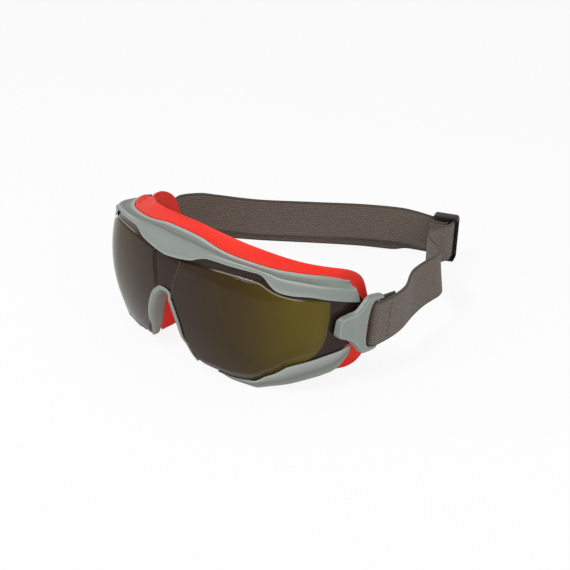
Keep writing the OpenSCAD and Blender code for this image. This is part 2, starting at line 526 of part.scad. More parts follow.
// Middle of the whole object, front to back
front_y = min([for (i = [0 : len(notch_path) - 1]) for (q = bridge_ring(i)) q.y]);
back_y = on_run(slider_u, -slider_out - slider_bar_t).y;
function path_side(path, i) =
    let (a = path[max(i - 1, 0)], b = path[min(i + 1, len(path) - 1)], t = [b.x - a.x, b.y - a.y])
    [t.y, -t.x, 0] / norm(t);
module webbing(pts, n) {
    path = curve(pts, n);
    skin([for (i = [0 : len(path) - 1])
        let (p = path[i] + [0, 0, nose_h], m = path_side(path, i) * strap_t / 2,
             lean = clip_droop * (1 - ramp(path[i].y - bar_at.y, 2, fold_len + 12)),
             w = strap_w / 2 * [0, sin(lean), cos(lean)])
        [p - m - w, p + m - w, p + m + w, p - m + w]]);
}
module strap_left()
    color(TAUPE) in_frame() webbing(left_path, 2);
module strap_rear()
    color(TAUPE) in_frame() webbing(rear_path, 2);
module strap_return()
    color(TAUPE) in_frame() webbing(return_path, 2);

// ---------- slider ----------
module slider_frame() {
    half_h = strap_w / 2 + strap_gap;
    top_h = half_h + slider_head + slider_rail;
    low_h = half_h + slider_rail;
    back_v = -slider_out - slider_bar_t;
    for (u = [-slider_near, slider_len - slider_bar_w])
        translate([u, back_v, -low_h]) cube([slider_bar_w, slider_bar_t, low_h + top_h]);
    for (z = [top_h - slider_rail, -low_h])
        translate([-slider_near, back_v, z]) cube([slider_near + slider_len, pin_v + slider_pin_r - back_v, slider_rail]);
    translate([slider_len / 2, pin_v, -half_h - eps])
        cylinder(r = slider_pin_r, h = 2 * half_h + slider_head + 2 * eps, $fn = 32);
}
module slider()
    color(BLACK) in_frame()
    translate(on_run(slider_u, 0) + [0, 0, nose_h])
    rotate([0, 0, 180 + run_turn])
    slider_frame();

// ---------- stitching ----------
// Rows of thread across the webbing, on its outer face
stitch_t = 0.5;
stitch_off = 0.16;
stitch_h = strap_w - 3;
// Bar of thread on the outer face of the webbing, from a to b, seen from above
module stitch_row(a, b, out) {
    t = (b - a) / norm(b - a);
    n = out * [t.y, -t.x, 0];
    skin([for (e = [a, b]) let (p = e + (strap_t / 2 + stitch_off) * n + [0, 0, nose_h], w = [0, 0, stitch_h / 2])
        [p - w, p + stitch_t * n - w, p + stitch_t * n + w, p + w]]);
}
loop_seam = left_path[fold_steps + 5];
module loop_stitching()
    color(TAUPE) in_frame() stitch_row(mix(loop_seam, left_path[fold_steps + 6], -0.06), mix(loop_seam, left_path[fold_steps + 6], 0.12), 1);
module return_stitching()
    color(TAUPE) in_frame() stitch_row(return_path[len(return_path) - 1] - 1.8 * run_dir, return_path[len(return_path) - 1] - 0.8 * run_dir, 1);

lens();
lens_carrier();
brow_frame();
cheek_frame_left();
cheek_frame_right();
nose_bridge();
face_seal();
temple_plate_left();
temple_plate_right();
pivot_pin_left();
pivot_pin_right();
pivot_retainer_left();
pivot_retainer_right();
strap_clip_left();
strap_clip_right();
strap_left();
strap_rear();
strap_return();
slider();
loop_stitching();
return_stitching();
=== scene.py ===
"""Sealed wraparound welding goggles: the looks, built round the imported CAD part.

Shapes are worked out in millimetres on the goggles' own wall: s along it from the middle,
d outside it, h above the nose arch. to_row() turns the result into the row frame.
"""
import math

import bmesh
import bpy
from mathutils import Matrix, Vector


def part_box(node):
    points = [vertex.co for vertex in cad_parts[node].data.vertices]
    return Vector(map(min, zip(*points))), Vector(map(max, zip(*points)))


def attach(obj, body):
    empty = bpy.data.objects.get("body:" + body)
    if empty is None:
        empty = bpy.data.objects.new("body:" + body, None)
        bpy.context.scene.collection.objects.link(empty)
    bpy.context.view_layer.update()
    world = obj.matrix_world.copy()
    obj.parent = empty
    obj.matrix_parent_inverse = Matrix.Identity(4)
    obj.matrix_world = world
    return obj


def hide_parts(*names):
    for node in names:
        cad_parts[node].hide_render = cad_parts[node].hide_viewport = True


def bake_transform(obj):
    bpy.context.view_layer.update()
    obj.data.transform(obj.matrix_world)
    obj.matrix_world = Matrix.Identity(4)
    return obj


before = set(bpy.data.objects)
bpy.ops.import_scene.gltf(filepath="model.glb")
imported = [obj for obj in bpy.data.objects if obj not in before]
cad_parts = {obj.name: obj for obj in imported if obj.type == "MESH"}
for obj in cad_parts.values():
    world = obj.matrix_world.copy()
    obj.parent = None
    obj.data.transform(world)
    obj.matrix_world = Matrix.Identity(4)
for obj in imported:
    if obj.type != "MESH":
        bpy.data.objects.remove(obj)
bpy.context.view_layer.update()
scene = bpy.context.scene

MM = 0.001

# ---------- sizes shared with the CAD part, in millimetres ----------
FRONT_R = 150.0
FRONT_HALF_W = 45.0
CORNER_R = 53.0
TEMPLE_TURN = 85.0
LENS_T = 2.0
LENS_CROWN = 5.2
BULGE_STEP = 1.2
NOSE_H = 39.0
FRAME_T = 2.0
FRAME_PROUD = 2.6
SIDE_PROUD = 1.2
NOSE_WALL_D = 1.6
SEAL_T = 1.6
SEAL_BOW = 0.6
PIVOT_Y = 44.6
PIVOT_DROP = 5.0
CLIP_DROOP = 8.0
BOSS_R = 4.55
CLIP_T = 3.2
TONGUE_GAP = 1.6
ARM_LIFT = 1.5
BAR_REACH = 14.0
BAR_R = 1.25
STRAP_REACH = 149.8
STRAP_W = 25.0
STRAP_T = 1.3
STRAP_GAP = 0.3
SEAT_GAP = 0.2
SLIDER_LEN = 15.0
SLIDER_PIN_R = 1.0
RUN_TURN = 22.0
RUN_START = Vector((47.8, PIVOT_Y + STRAP_REACH, -21.8))
RUN_LEN = 44.0
SLIDER_U = 3.0
SEAM_U = 8.0
FOLD_LEN = 17.0
ROOF_T = 1.5
LENS_END = 110.0
# Drop of the lens's top edge under the brow's face
LENS_TOP_DROP = 2.4

# Tables of (distance along the wall, height), as in the CAD part
BROW_LOW = [(0, 22.7), (10, 23.7), (18.6, 25.4), (22.5, 27.2), (27, 28.3), (40, 27.9), (52, 27.3), (57, 26.1),
            (60.3, 22.4), (64, 19.2), (70, 17.4), (79.7, 15.6), (88.9, 12), (98.5, 8.6), (107.6, 5.4)]
BROW_FRONT = [(0, 27), (18, 29), (27, 30.4), (40, 30.3), (50, 29.6), (60, 27.3), (65.2, 25.2), (75.9, 22.5),
              (89.2, 18.4), (95.6, 16.4), (105, 13.4)]
BROW_TOP = [(0, 32.3), (14, 31.7), (24, 30.2), (31, 29.2), (40.6, 28.2), (49, 27.4), (60, 25.8), (73.8, 23.8),
            (89.8, 21), (97, 19.2), (107.6, 16.6)]
BROW_DEPTH = [(0, 11.2), (14, 10.8), (26, 9.4), (38, 8.6), (72, 8.4), (88, 7.6), (97, 6.4), (107.6, 5)]
LENS_TOP = [(s, h - LENS_TOP_DROP) for s, h in BROW_FRONT] + [(LENS_END, 6)]
LENS_LOW = [(0, 4.2), (3.5, 3.4), (6.5, 0), (8.8, -5), (11.3, -12), (13.4, -21), (15.5, -28), (19, -33.2),
            (24, -34.8), (32, -35.4), (40, -36), (48, -35), (57, -33.4), (67, -27.6), (80, -22.4),
            (92, -19.6), (100, -17.6), (106, -15), (110, -10.5)]
CHEEK_UP = [(30, -37), (40, -37.4), (48, -36), (53, -34.4), (56, -32.2), (58, -30.3), (63, -27.2),
            (66.3, -24.6), (69, -22.4), (74.4, -20.8), (83.7, -19.8), (96, -19), (103, -17.4)]
CHEEK_LOW = [(30, -38), (35, -39), (42, -40), (52, -39.4), (60.4, -37), (70.4, -34.8), (78.6, -32.8),
             (87.2, -31.2), (92.6, -30), (96.9, -27.6), (100, -24.6), (103, -21.4)]
CHEEK_CREASE = [(30, -37.5), (48, -37.9), (59.7, -33.4), (67.7, -30.9), (75.6, -28.2), (84, -27), (92, -25.8),
                (98, -23), (103, -19.6)]
BULGE_TOP = [(0, 22), (17, 23), (35, 23.6), (49, 23.1), (56, 22), (60, 19.8), (64, 17.8), (70, 16),
             (81, 13.4), (92, 9.6), (LENS_END, 5)]
# Beside the nose, as (height, distance along the wall)
BULGE_NOSE = [(-36, 22), (-20, 11.8), (0, 4.4), (20, 8.6), (26, 9.5)]
NOSE_SEAL_D = NOSE_WALL_D + SEAT_GAP
# The seal, as (distance along the wall, height, distance outside the wall)
SEAL_BASE = [(0, 23, -9), (20, 23, -9), (40, 23, -9), (56, 22.2, -9), (68, 18.6, -9), (80, 16, -9),
             (92, 12.6, -8), (101, 9.4, -6.8), (108, 5, -6.4), (110.5, 0, -6.4), (110.5, -8, -6.4),
             (107, -14, -6.4), (100, -17, -7), (90, -19, -9), (79, -21, -9), (68, -26.5, -9),
             (56, -31.5, -9), (45, -34, -9), (33, -34.4, -9), (24, -33.4, -8.8), (18.4, -32.4, -5.4),
             (14.6, -29.6, -NOSE_SEAL_D - 0.3), (11.8, -20.5, -NOSE_SEAL_D), (9.4, -11.5, -NOSE_SEAL_D),
             (6, -3.2, -NOSE_SEAL_D), (0, 1.9, -NOSE_SEAL_D)]
SEAL_RIM = [(0, 33.6, -20), (20, 32.4, -20), (40, 29.8, -20.5), (58, 27.6, -20.5), (74, 25.2, -19),
            (87, 23.6, -15.5), (100, 21.2, -12.5), (110, 18.4, -10), (118, 12.4, -9), (121.8, 3.4, -8.6),
            (125.4, -13, -8.4), (124.8, -26.6, -8), (118.2, -35.4, -7.8), (109.6, -39, -9.4), (93, -39, -14),
            (76, -39, -19), (58, -39, -22), (44, -39, -23), (32, -38, -23), (23.5, -35.4, -22),
            (20, -33, -21.8), (17, -28.5, -21.5), (13.6, -20.5, -21.5), (11, -12, -21.5), (6.6, -4.4, -21.5),
            (0, -1.2, -21.5)]


# ---------- the wall: two arcs and a straight temple ----------
FRONT_TURN = math.asin(FRONT_HALF_W / FRONT_R)
FRONT_LEN = FRONT_R * FRONT_TURN
CORNER_LEN = CORNER_R * (math.radians(TEMPLE_TURN) - FRONT_TURN)
PIN_LO, PIN_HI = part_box("pivot_pin_left")
SHIFT_Y = (PIN_LO.y + PIN_HI.y) / 2 / MM - PIVOT_Y


def wall(s, d, h):
    """Point at distance s along the wall, d outside it and h above the nose arch."""
    a = abs(s)
    turn = min(a, FRONT_LEN) / FRONT_R
    x, y = FRONT_R * math.sin(turn), FRONT_R * (1 - math.cos(turn))
    if a > FRONT_LEN:
        start = turn
        turn += min(a - FRONT_LEN, CORNER_LEN) / CORNER_R
        x += CORNER_R * (math.sin(turn) - math.sin(start))
        y += CORNER_R * (math.cos(start) - math.cos(turn))
    straight = max(0.0, a - FRONT_LEN - CORNER_LEN)
    x += straight * math.cos(turn) + d * math.sin(turn)
    y += straight * math.sin(turn) - d * math.cos(turn)
    return Vector((math.copysign(x, s) if s else 0.0, y, h))


def to_row(p):
    return Vector((p[0], p[1] + SHIFT_Y, p[2] + NOSE_H)) * MM


# ---------- curves ----------
def mix(a, b, w):
    return a + (b - a) * w


def ramp(x, a, b):
    u = min(max((x - a) / (b - a), 0.0), 1.0)
    return u * u * (3 - 2 * u)


def hermite(p, q, m, n, u):
    return ((2 * u ** 3 - 3 * u * u + 1) * p + (u ** 3 - 2 * u * u + u) * m
            + (3 * u * u - 2 * u ** 3) * q + (u ** 3 - u * u) * n)


def along(x, table):
    """Value at x of a smooth curve through (x, y) points."""
    last = len(table) - 1
    i = next((k for k in range(last - 1) if x < table[k + 1][0]), last - 1)

    def slope(k):
        a, b = table[max(k - 1, 0)], table[min(k + 1, last)]
        return (b[1] - a[1]) / (b[0] - a[0])
    (x0, y0), (x1, y1) = table[i], table[i + 1]
    w = x1 - x0
    u = min(max((x - x0) / w, 0.0), 1.0)
    return hermite(y0, y1, slope(i) * w, slope(i + 1) * w, u)


def curve(points, n, closed=False):
    """Catmull-Rom curve through points, n steps a span."""
    pts = [Vector(p) for p in points]
    m = len(pts)
    out = []
    for i in range(m if closed else m - 1):
        a = pts[(i - 1) % m] if closed else pts[max(i - 1, 0)]
        b = pts[(i + 2) % m] if closed else pts[min(i + 2, m - 1)]
        p, q = pts[i], pts[(i + 1) % m]
        out += [hermite(p, q, (q - a) / 2, (b - p) / 2, k / n) for k in range(n)]
    return out if closed else out + [pts[-1]]


def rounded(points, radii, n=4):
    """Closed outline with each corner turned into a short curve of about that radius."""
    out = []
    m = len(points)
    for i, p in enumerate(points):
        p, a, b = Vector(p), Vector(points[i - 1]), Vector(points[(i + 1) % m])
        r = radii[i] if isinstance(radii, (list, tuple)) else radii
        a = p + (a - p) * min(0.5, r / max((a - p).length, 1e-6))
        b = p + (b - p) * min(0.5, r / max((b - p).length, 1e-6))
        out += [mix(mix(a, p, k / n), mix(p, b, k / n), k / n) for k in range(n + 1)]
    return out


def corner_tones(tones, n=4):
    """One value a point of a rounded outline: the tone of the corner it comes from."""
    return [tone for tone in tones for _ in range(n + 1)]


def steps(a, b, size):
    n = max(1, round(abs(b - a) / size))
    return [mix(a, b, k / n) for k in range(n + 1)]


# ---------- meshes ----------
def add_piece(name, verts, faces, material, body, replaced=(), uv=None, sharp=38):
    """Mesh from millimetre points; uv maps a layer's name to one (u, v) pair a vertex."""
    me = bpy.data.meshes.new(name)
    me.from_pydata([to_row(v) for v in verts], [], faces)
    for layer_name, pairs in (uv or {}).items():
        layer = me.uv_layers.new(name=layer_name)
        for loop in me.loops:
            layer.data[loop.index].uv = pairs[loop.vertex_index]
    bm = bmesh.new()
    bm.from_mesh(me)
    bmesh.ops.recalc_face_normals(bm, faces=bm.faces)
    bm.to_mesh(me)
    bm.free()
    for poly in me.polygons:
        poly.use_smooth = True
    me.set_sharp_from_angle(angle=math.radians(sharp))
    obj = bpy.data.objects.new(name, me)
    scene.collection.objects.link(obj)
    finish_piece(obj, material, body, replaced)
    return obj


def finish_piece(obj, material, body, replaced=()):
    obj.data.materials.clear()
    obj.data.materials.append(MATERIALS[material])
    if body:
        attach(obj, body)
    if replaced:
        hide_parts(*replaced)


def skin(rings, closed=False):
    """Vertices and quads of a tube through rings of points."""
    n, m = len(rings[0]), len(rings)
    verts = [p for ring in rings for p in ring]
    faces = []
    for i in range(m if closed else m - 1):
        k = (i + 1) % m
        faces += [(i * n + j, i * n + (j + 1) % n, k * n + (j + 1) % n, k * n + j) for j in range(n)]
    if not closed:
        faces += [tuple(range(n))[::-1], tuple(range((m - 1) * n, m * n))]
    return verts, faces


# ---------- materials ----------
def principled(name, color, rough, **sockets):
    mat = bpy.data.materials.new(name)
    mat.use_nodes = True
    bsdf = mat.node_tree.nodes["Principled BSDF"]
    bsdf.inputs["Base Color"].default_value = (*color, 1)
    bsdf.inputs["Roughness"].default_value = rough
    for key, value in sockets.items():
        bsdf.inputs[key.replace("_", " ")].default_value = value
    return mat, mat.node_tree, bsdf


def node(tree, kind, **values):
    made = tree.nodes.new(kind)
    for key, value in values.items():
        if key in made.inputs:
            made.inputs[key].default_value = value
        else:
            setattr(made, key, value)
    return made


def grained(tree, bsdf, scale, distance, strength=0.3, detail=3.0, vary=0.0, rough_vary=0.0):
    """Fine moulded grain: a noise bump, and a little change of roughness and colour."""
    place = node(tree, "ShaderNodeTexCoord")
    noise = node(tree, "ShaderNodeTexNoise", Scale=scale, Detail=detail)
    bump = node(tree, "ShaderNodeBump", Strength=strength, Distance=distance)
    tree.links.new(place.outputs["Object"], noise.inputs["Vector"])
    tree.links.new(noise.outputs["Fac"], bump.inputs["Height"])
    tree.links.new(bump.outputs["Normal"], bsdf.inputs["Normal"])
    base = tuple(bsdf.inputs["Base Color"].default_value)[:3]
    if vary:
        wide = node(tree, "ShaderNodeTexNoise", Scale=scale / 12, Detail=2.0)
        tint = node(tree, "ShaderNodeMix", data_type="RGBA")
        tint.inputs["A"].default_value = (*[c * (1 - vary) for c in base], 1)
        tint.inputs["B"].default_value = (*[min(1, c * (1 + vary)) for c in base], 1)
        tree.links.new(place.outputs["Object"], wide.inputs["Vector"])
        tree.links.new(wide.outputs["Fac"], tint.inputs["Factor"])
        tree.links.new(tint.outputs["Result"], bsdf.inputs["Base Color"])
    if rough_vary:
        rough = bsdf.inputs["Roughness"].default_value
        spread = node(tree, "ShaderNodeMapRange")
        spread.inputs["To Min"].default_value = rough - rough_vary
        spread.inputs["To Max"].default_value = rough + rough_vary
        tree.links.new(noise.outputs["Fac"], spread.inputs["Value"])
        tree.links.new(spread.outputs["Result"], bsdf.inputs["Roughness"])


def uv_parts(tree, layer):
    """The two numbers that a mesh keeps in a uv layer."""
    uv = node(tree, "ShaderNodeUVMap", uv_map=layer)
    parts = node(tree, "ShaderNodeSeparateXYZ")
    tree.links.new(uv.outputs["UV"], parts.inputs["Vector"])
    return parts


def faded(tree, socket, lo, hi):
    """0 below lo, 1 above hi, smooth between."""
    fade = node(tree, "ShaderNodeMapRange", interpolation_type="SMOOTHSTEP")
    fade.inputs["From Min"].default_value = lo
    fade.inputs["From Max"].default_value = hi
    tree.links.new(socket, fade.inputs["Value"])
    return fade.outputs["Result"]


def blended(tree, share, first, second):
    """Colour between first and second, each a colour or a socket."""
    made = node(tree, "ShaderNodeMix", data_type="RGBA")
    for name, value in (("A", first), ("B", second)):
        if isinstance(value, tuple):
            made.inputs[name].default_value = (*value, 1)
        else:
            tree.links.new(value, made.inputs[name])
    tree.links.new(share, made.inputs["Factor"])
    return made.outputs["Result"]


GREY = (0.262, 0.292, 0.262)
# Painted shade for grooves and creases, and painted highlight for ridges, lips and edges
GREY_PAINTED_SHADE = (0.17, 0.19, 0.17)
GREY_PAINTED_HIGHLIGHT = (0.43, 0.45, 0.42)


def make_grey(name, relief=False):
    """Grey moulding; optionally with painted highlights on ridges, lips and edges and painted shade in
    grooves, from its own uv layer.
    """
    mat, tree, bsdf = principled(name, GREY, 0.42)
    grained(tree, bsdf, 2600, 0.00005, 0.25, vary=0.03, rough_vary=0.05)
    if relief:
        parts = uv_parts(tree, "relief")
        plain = bsdf.inputs["Base Color"].links[0].from_socket
        deep = blended(tree, parts.outputs["X"], plain, GREY_PAINTED_SHADE)
        tree.links.new(blended(tree, parts.outputs["Y"], deep, GREY_PAINTED_HIGHLIGHT), bsdf.inputs["Base Color"])
    return mat


def make_red():
    mat, tree, bsdf = principled("seal_red", (0.95, 0.03, 0.014), 0.45, Subsurface_Weight=0.25,
                                 Subsurface_Scale=0.004, Specular_IOR_Level=0.35)
    bsdf.inputs["Subsurface Radius"].default_value = (1.0, 0.15, 0.08)
    grained(tree, bsdf, 1800, 0.00006, 0.25, vary=0.03)
    return mat


LENS_BROWN = (0.05, 0.03, 0.019)
LENS_BORDER = (0.038, 0.021, 0.015)
LENS_FRONT = (0.056, 0.033, 0.005)
# Olive: painted light, the bright backdrop seen through the lens towards the temples
LENS_PAINTED_BACKDROP = (0.15, 0.108, 0.001)
# Pale painted glint along the top of each bulge
LENS_PAINTED_GLINT = (0.5, 0.42, 0.36)
# Distances along the wall where the colour turns from brown to the front's tone, and on to olive, a painted
# light for the bright backdrop seen through the lens
FRONT_TONE_RUN = (14, 44)
BACKDROP_LIGHT_RUN = (40, 90)
# How far inside the window's edge the dark border ends
BORDER_FADE = (-0.2, 0.3)


def make_lens():
    """Nearly opaque tint, brown in front and olive at the temples, the olive a painted light for the backdrop
    seen through; a dark border round the windows and a painted glint along each bulge's top.
    """
    mat, tree, bsdf = principled("lens_tint", LENS_BROWN, 0.03, Transmission_Weight=0.3, IOR=1.5,
                                 Specular_IOR_Level=0.12)
    tint, edge = uv_parts(tree, "tint"), uv_parts(tree, "edge")
    front = blended(tree, faded(tree, tint.outputs["X"], *FRONT_TONE_RUN), LENS_BROWN, LENS_FRONT)
    # Olive painted light towards the temples, for the backdrop seen through the lens
    window = blended(tree, faded(tree, tint.outputs["X"], *BACKDROP_LIGHT_RUN), front, LENS_PAINTED_BACKDROP)
    colour = blended(tree, faded(tree, tint.outputs["Y"], *BORDER_FADE), LENS_BORDER, window)
    # Painted glint along the top of each bulge
    glint = blended(tree, edge.outputs["X"], colour, LENS_PAINTED_GLINT)
    tree.links.new(glint, bsdf.inputs["Base Color"])
    return mat


RIB_PITCH = 1.4
PICK_PITCH = 0.9
PICK_SHARE = 0.2
RIB_SHADE = 0.2
FUZZ_SCALE = 900.0
# Distances from the webbing's side where its darker edge band starts and is full
EDGE_BAND_START, EDGE_BAND_FULL = 1.5, 0.9
EDGE_BAND_SHARE = 0.75
CLOTH_DARK, CLOTH_PALE, CLOTH_EDGE = 0.58, 1.38, 0.35


def wave(tree, socket, pitch):
    """Sine of a length in millimetres, one turn a pitch."""
    turn = node(tree, "ShaderNodeMath", operation="MULTIPLY")
    turn.inputs[1].default_value = 2 * math.pi / pitch
    sine = node(tree, "ShaderNodeMath", operation="SINE")
    tree.links.new(socket, turn.inputs[0])
    tree.links.new(turn.outputs[0], sine.inputs[0])
    return sine.outputs[0]


def scaled(tree, socket, factor, added=None):
    """A socket's value times factor, plus another socket's where one is given."""
    made = node(tree, "ShaderNodeMath", operation="MULTIPLY" if added is None else "MULTIPLY_ADD")
    made.inputs[1].default_value = factor
    tree.links.new(socket, made.inputs[0])
    if added is not None:
        tree.links.new(added, made.inputs[2])
    return made.outputs[0]


def toned(color, share):
    return tuple(c * share for c in color)


def make_webbing(name, color):
    """Ribbed elastic: ribs along the strap, finer picks across it, both from its own u, v in millimetres."""
    mat, tree, bsdf = principled(name, color, 0.85, Sheen_Weight=0.15)
    parts = uv_parts(tree, "cloth")
    rib, pick = wave(tree, parts.outputs["Y"], RIB_PITCH), wave(tree, parts.outputs["X"], PICK_PITCH)
    bump = node(tree, "ShaderNodeBump", Strength=0.8, Distance=0.00018)
    tree.links.new(scaled(tree, pick, PICK_SHARE, rib), bump.inputs["Height"])
    tree.links.new(bump.outputs["Normal"], bsdf.inputs["Normal"])
    fuzz = node(tree, "ShaderNodeTexNoise", Scale=FUZZ_SCALE, Detail=4.0)
    place = node(tree, "ShaderNodeTexCoord")
    tree.links.new(place.outputs["Object"], fuzz.inputs["Vector"])
    shade = scaled(tree, rib, RIB_SHADE, fuzz.outputs["Fac"])
    cloth = blended(tree, shade, toned(color, CLOTH_DARK), toned(color, CLOTH_PALE))
    across = node(tree, "ShaderNodeMath", operation="ABSOLUTE")
    tree.links.new(parts.outputs["Y"], across.inputs[0])
    # A darker band along both edges of the webbing
    edge_band = faded(tree, across.outputs[0], STRAP_W / 2 - EDGE_BAND_START, STRAP_W / 2 - EDGE_BAND_FULL)
    edged = blended(tree, scaled(tree, edge_band, EDGE_BAND_SHARE), cloth, toned(color, CLOTH_EDGE))
    tree.links.new(edged, bsdf.inputs["Base Color"])
    return mat


def make_plain(name, color, rough, scale, distance, strength, **sockets):
    mat, tree, bsdf = principled(name, color, rough, **sockets)
    grained(tree, bsdf, scale, distance, strength, rough_vary=0.04)
    return mat


MATERIALS = {
    "frame_grey": make_grey("frame_grey"),
    "frame_grey_painted_light": make_grey("frame_grey_painted_light", relief=True),
    "seal_red": make_red(),
    "lens_tint": make_lens(),
    "webbing": make_webbing("webbing", (0.15, 0.118, 0.094)),
    "carrier_dark": make_plain("carrier_dark", (0.014, 0.011, 0.009), 0.55, 2600, 0.00005, 0.25),
    "slider_black": make_plain("slider_black", (0.013, 0.009, 0.009), 0.24, 900, 0.00002, 0.1,
                               Specular_IOR_Level=0.35),
    "pin_steel": make_plain("pin_steel", (0.55, 0.56, 0.57), 0.3, 1500, 0.00002, 0.2, Metallic=1.0),
    "thread": make_plain("thread", (0.15, 0.125, 0.108), 0.7, 3000, 0.00005, 0.4, Sheen_Weight=0.3),
}


# ---------- lens ----------
CROWN_MID = -6.0
CROWN_HALF = 30.0
CROWN_FADE = (68, 94)
BULGE_END = 88.0
BULGE_END_RUN = 12
# Runs over which the bulge rises: under the brow, beside the nose and over the cheek
BULGE_TOP_RUN = (0, 1.1)
BULGE_NOSE_RUN = (0, 1.8)
BULGE_CHEEK_RUN = (1.6, 6)
# Rows of the lens: below the step above the bulge, across it, and above it
BODY_ROWS, STEP_ROWS, TOP_ROWS = 44, 16, 5
STEP_LOW, STEP_HIGH = 1.5, 0.3
LENS_SPACING, NOSE_SPACING = 0.8, 0.4
NOSE_REACH = 26


def crown(s, h):
    return LENS_CROWN * max(0.0, 1 - ((h - CROWN_MID) / CROWN_HALF) ** 2) * (1 - ramp(abs(s), *CROWN_FADE))


def bulge(s, h):
    a = abs(s)
    return (BULGE_STEP * ramp(along(a, BULGE_TOP) - h, *BULGE_TOP_RUN)
            * ramp(a - along(h, BULGE_NOSE), *BULGE_NOSE_RUN)
            * (1 - ramp(a, BULGE_END - BULGE_END_RUN, BULGE_END))
            * ramp(h - along(a, CHEEK_UP), *BULGE_CHEEK_RUN))


def lens_out(s, h):
    return crown(s, h) + bulge(s, h)


def lens_heights(s):
    """Heights of the lens's rows at s, close together across the step above the bulge."""
    a = abs(s)
    low, step, top = along(a, LENS_LOW), along(a, BULGE_TOP), along(a, LENS_TOP)
    body = [mix(low, step - STEP_LOW, k / BODY_ROWS) for k in range(BODY_ROWS)]
    edge = [mix(step - STEP_LOW, step + STEP_HIGH, k / STEP_ROWS) for k in range(STEP_ROWS)]
    return body + edge + [mix(step + STEP_HIGH, top, k / TOP_ROWS) for k in range(TOP_ROWS + 1)]


def pivot_s():
    turn = math.acos(math.cos(FRONT_TURN) - (PIVOT_Y - FRONT_R * (1 - math.cos(FRONT_TURN))) / CORNER_R)
    return FRONT_LEN + CORNER_R * (turn - FRONT_TURN)


PIVOT_S = pivot_s()
PIVOT_X = wall(PIVOT_S, 0, 0).x
# Temple end of the clear window, as (height, distance along the wall)
WINDOW_END = [(-22, 76), (-16, 84.4), (-10, 88), (-2, 89.4), (4, 90.2), (12, 90.4)]
# Painted glint along the top of each bulge: its inset below the step, its half width, and where it fades in
# and out along the wall
GLINT_INSET = 0.35
GLINT_HALF_W = 0.32
GLINT_START = (27, 34)
GLINT_STOP = (74, 78)
HOLE_REACH = 0.03


def window_inset(s, h):
    """How far inside the window's border the point lies; negative on the border."""
    a = abs(s)
    temple = along(min(max(h, WINDOW_END[0][0]), WINDOW_END[-1][0]), WINDOW_END) - a
    return min(temple, along(a, BULGE_TOP) - h, a - along(h, BULGE_NOSE))


def glint(s, h):
    """Share of the painted glint, a painted highlight along the top of the bulge."""
    a = abs(s)
    near = max(0.0, 1 - abs(along(a, BULGE_TOP) - h - GLINT_INSET) / GLINT_HALF_W)
    return near * ramp(a, *GLINT_START) * (1 - ramp(a, *GLINT_STOP))


def build_lens():
    stations = steps(-LENS_END, LENS_END, LENS_SPACING) + steps(-NOSE_REACH, NOSE_REACH, NOSE_SPACING)
    stations = sorted(set(round(x, 4) for x in stations))
    rings, tint, edge = [], [], []
    for s in stations:
        hs = lens_heights(s)
        outer = [wall(s, lens_out(s, h), h) for h in hs]
        inner = [wall(s, lens_out(s, h) - LENS_T, h) for h in reversed(hs)]
        rings.append(outer + inner)
        tint += [(abs(s), window_inset(s, h)) for h in hs + hs[::-1]]
        # The painted glint's share, on the outer face only
        edge += [(glint(s, h), 0) for h in hs] + [(0, 0) for h in hs]
    verts, faces = skin(rings)
    obj = add_piece("lens_shield", verts, faces, "lens_tint", None, uv={"tint": tint, "edge": edge})
    for side in (-1, 1):
        cut_hole(obj, to_row((side * PIVOT_X, PIVOT_Y, -PIVOT_DROP)), (BOSS_R + SEAT_GAP) * MM, HOLE_REACH)
    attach(obj, "goggle")
    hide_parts("lens")


def cut_hole(obj, centre, radius, depth):
    """Round hole along X."""
    bpy.ops.mesh.primitive_cylinder_add(vertices=64, radius=radius, depth=depth, location=centre,
                                        rotation=(0, math.pi / 2, 0))
    cutter = bpy.context.object
    change = obj.modifiers.new("hole", "BOOLEAN")
    change.operation = "DIFFERENCE"
    change.object = cutter
    apply_modifiers(obj)
    bpy.data.objects.remove(cutter)


def apply_modifiers(obj):
    bpy.context.view_layer.update()
    made = bpy.data.meshes.new_from_object(obj.evaluated_get(bpy.context.evaluated_depsgraph_get()))
    obj.modifiers.clear()
    obj.data = made


build_lens()

# ---------- brow frame ----------
BROW_END = 107.6
BROW_GROOVE = 0.9
BROW_END_LEAN = 0.3
RIDGE_D = 0.45
MOULDING_SPACING = 0.75
# Distances along the wall over which the brow changes
BROW_PROUD_RUN = (18, 30)
BROW_SIDE_RUN = (20, 46)
BROW_LEAN_START = 94
WINDOW_RISE, WINDOW_FALL = (18, 26), (54, 62)


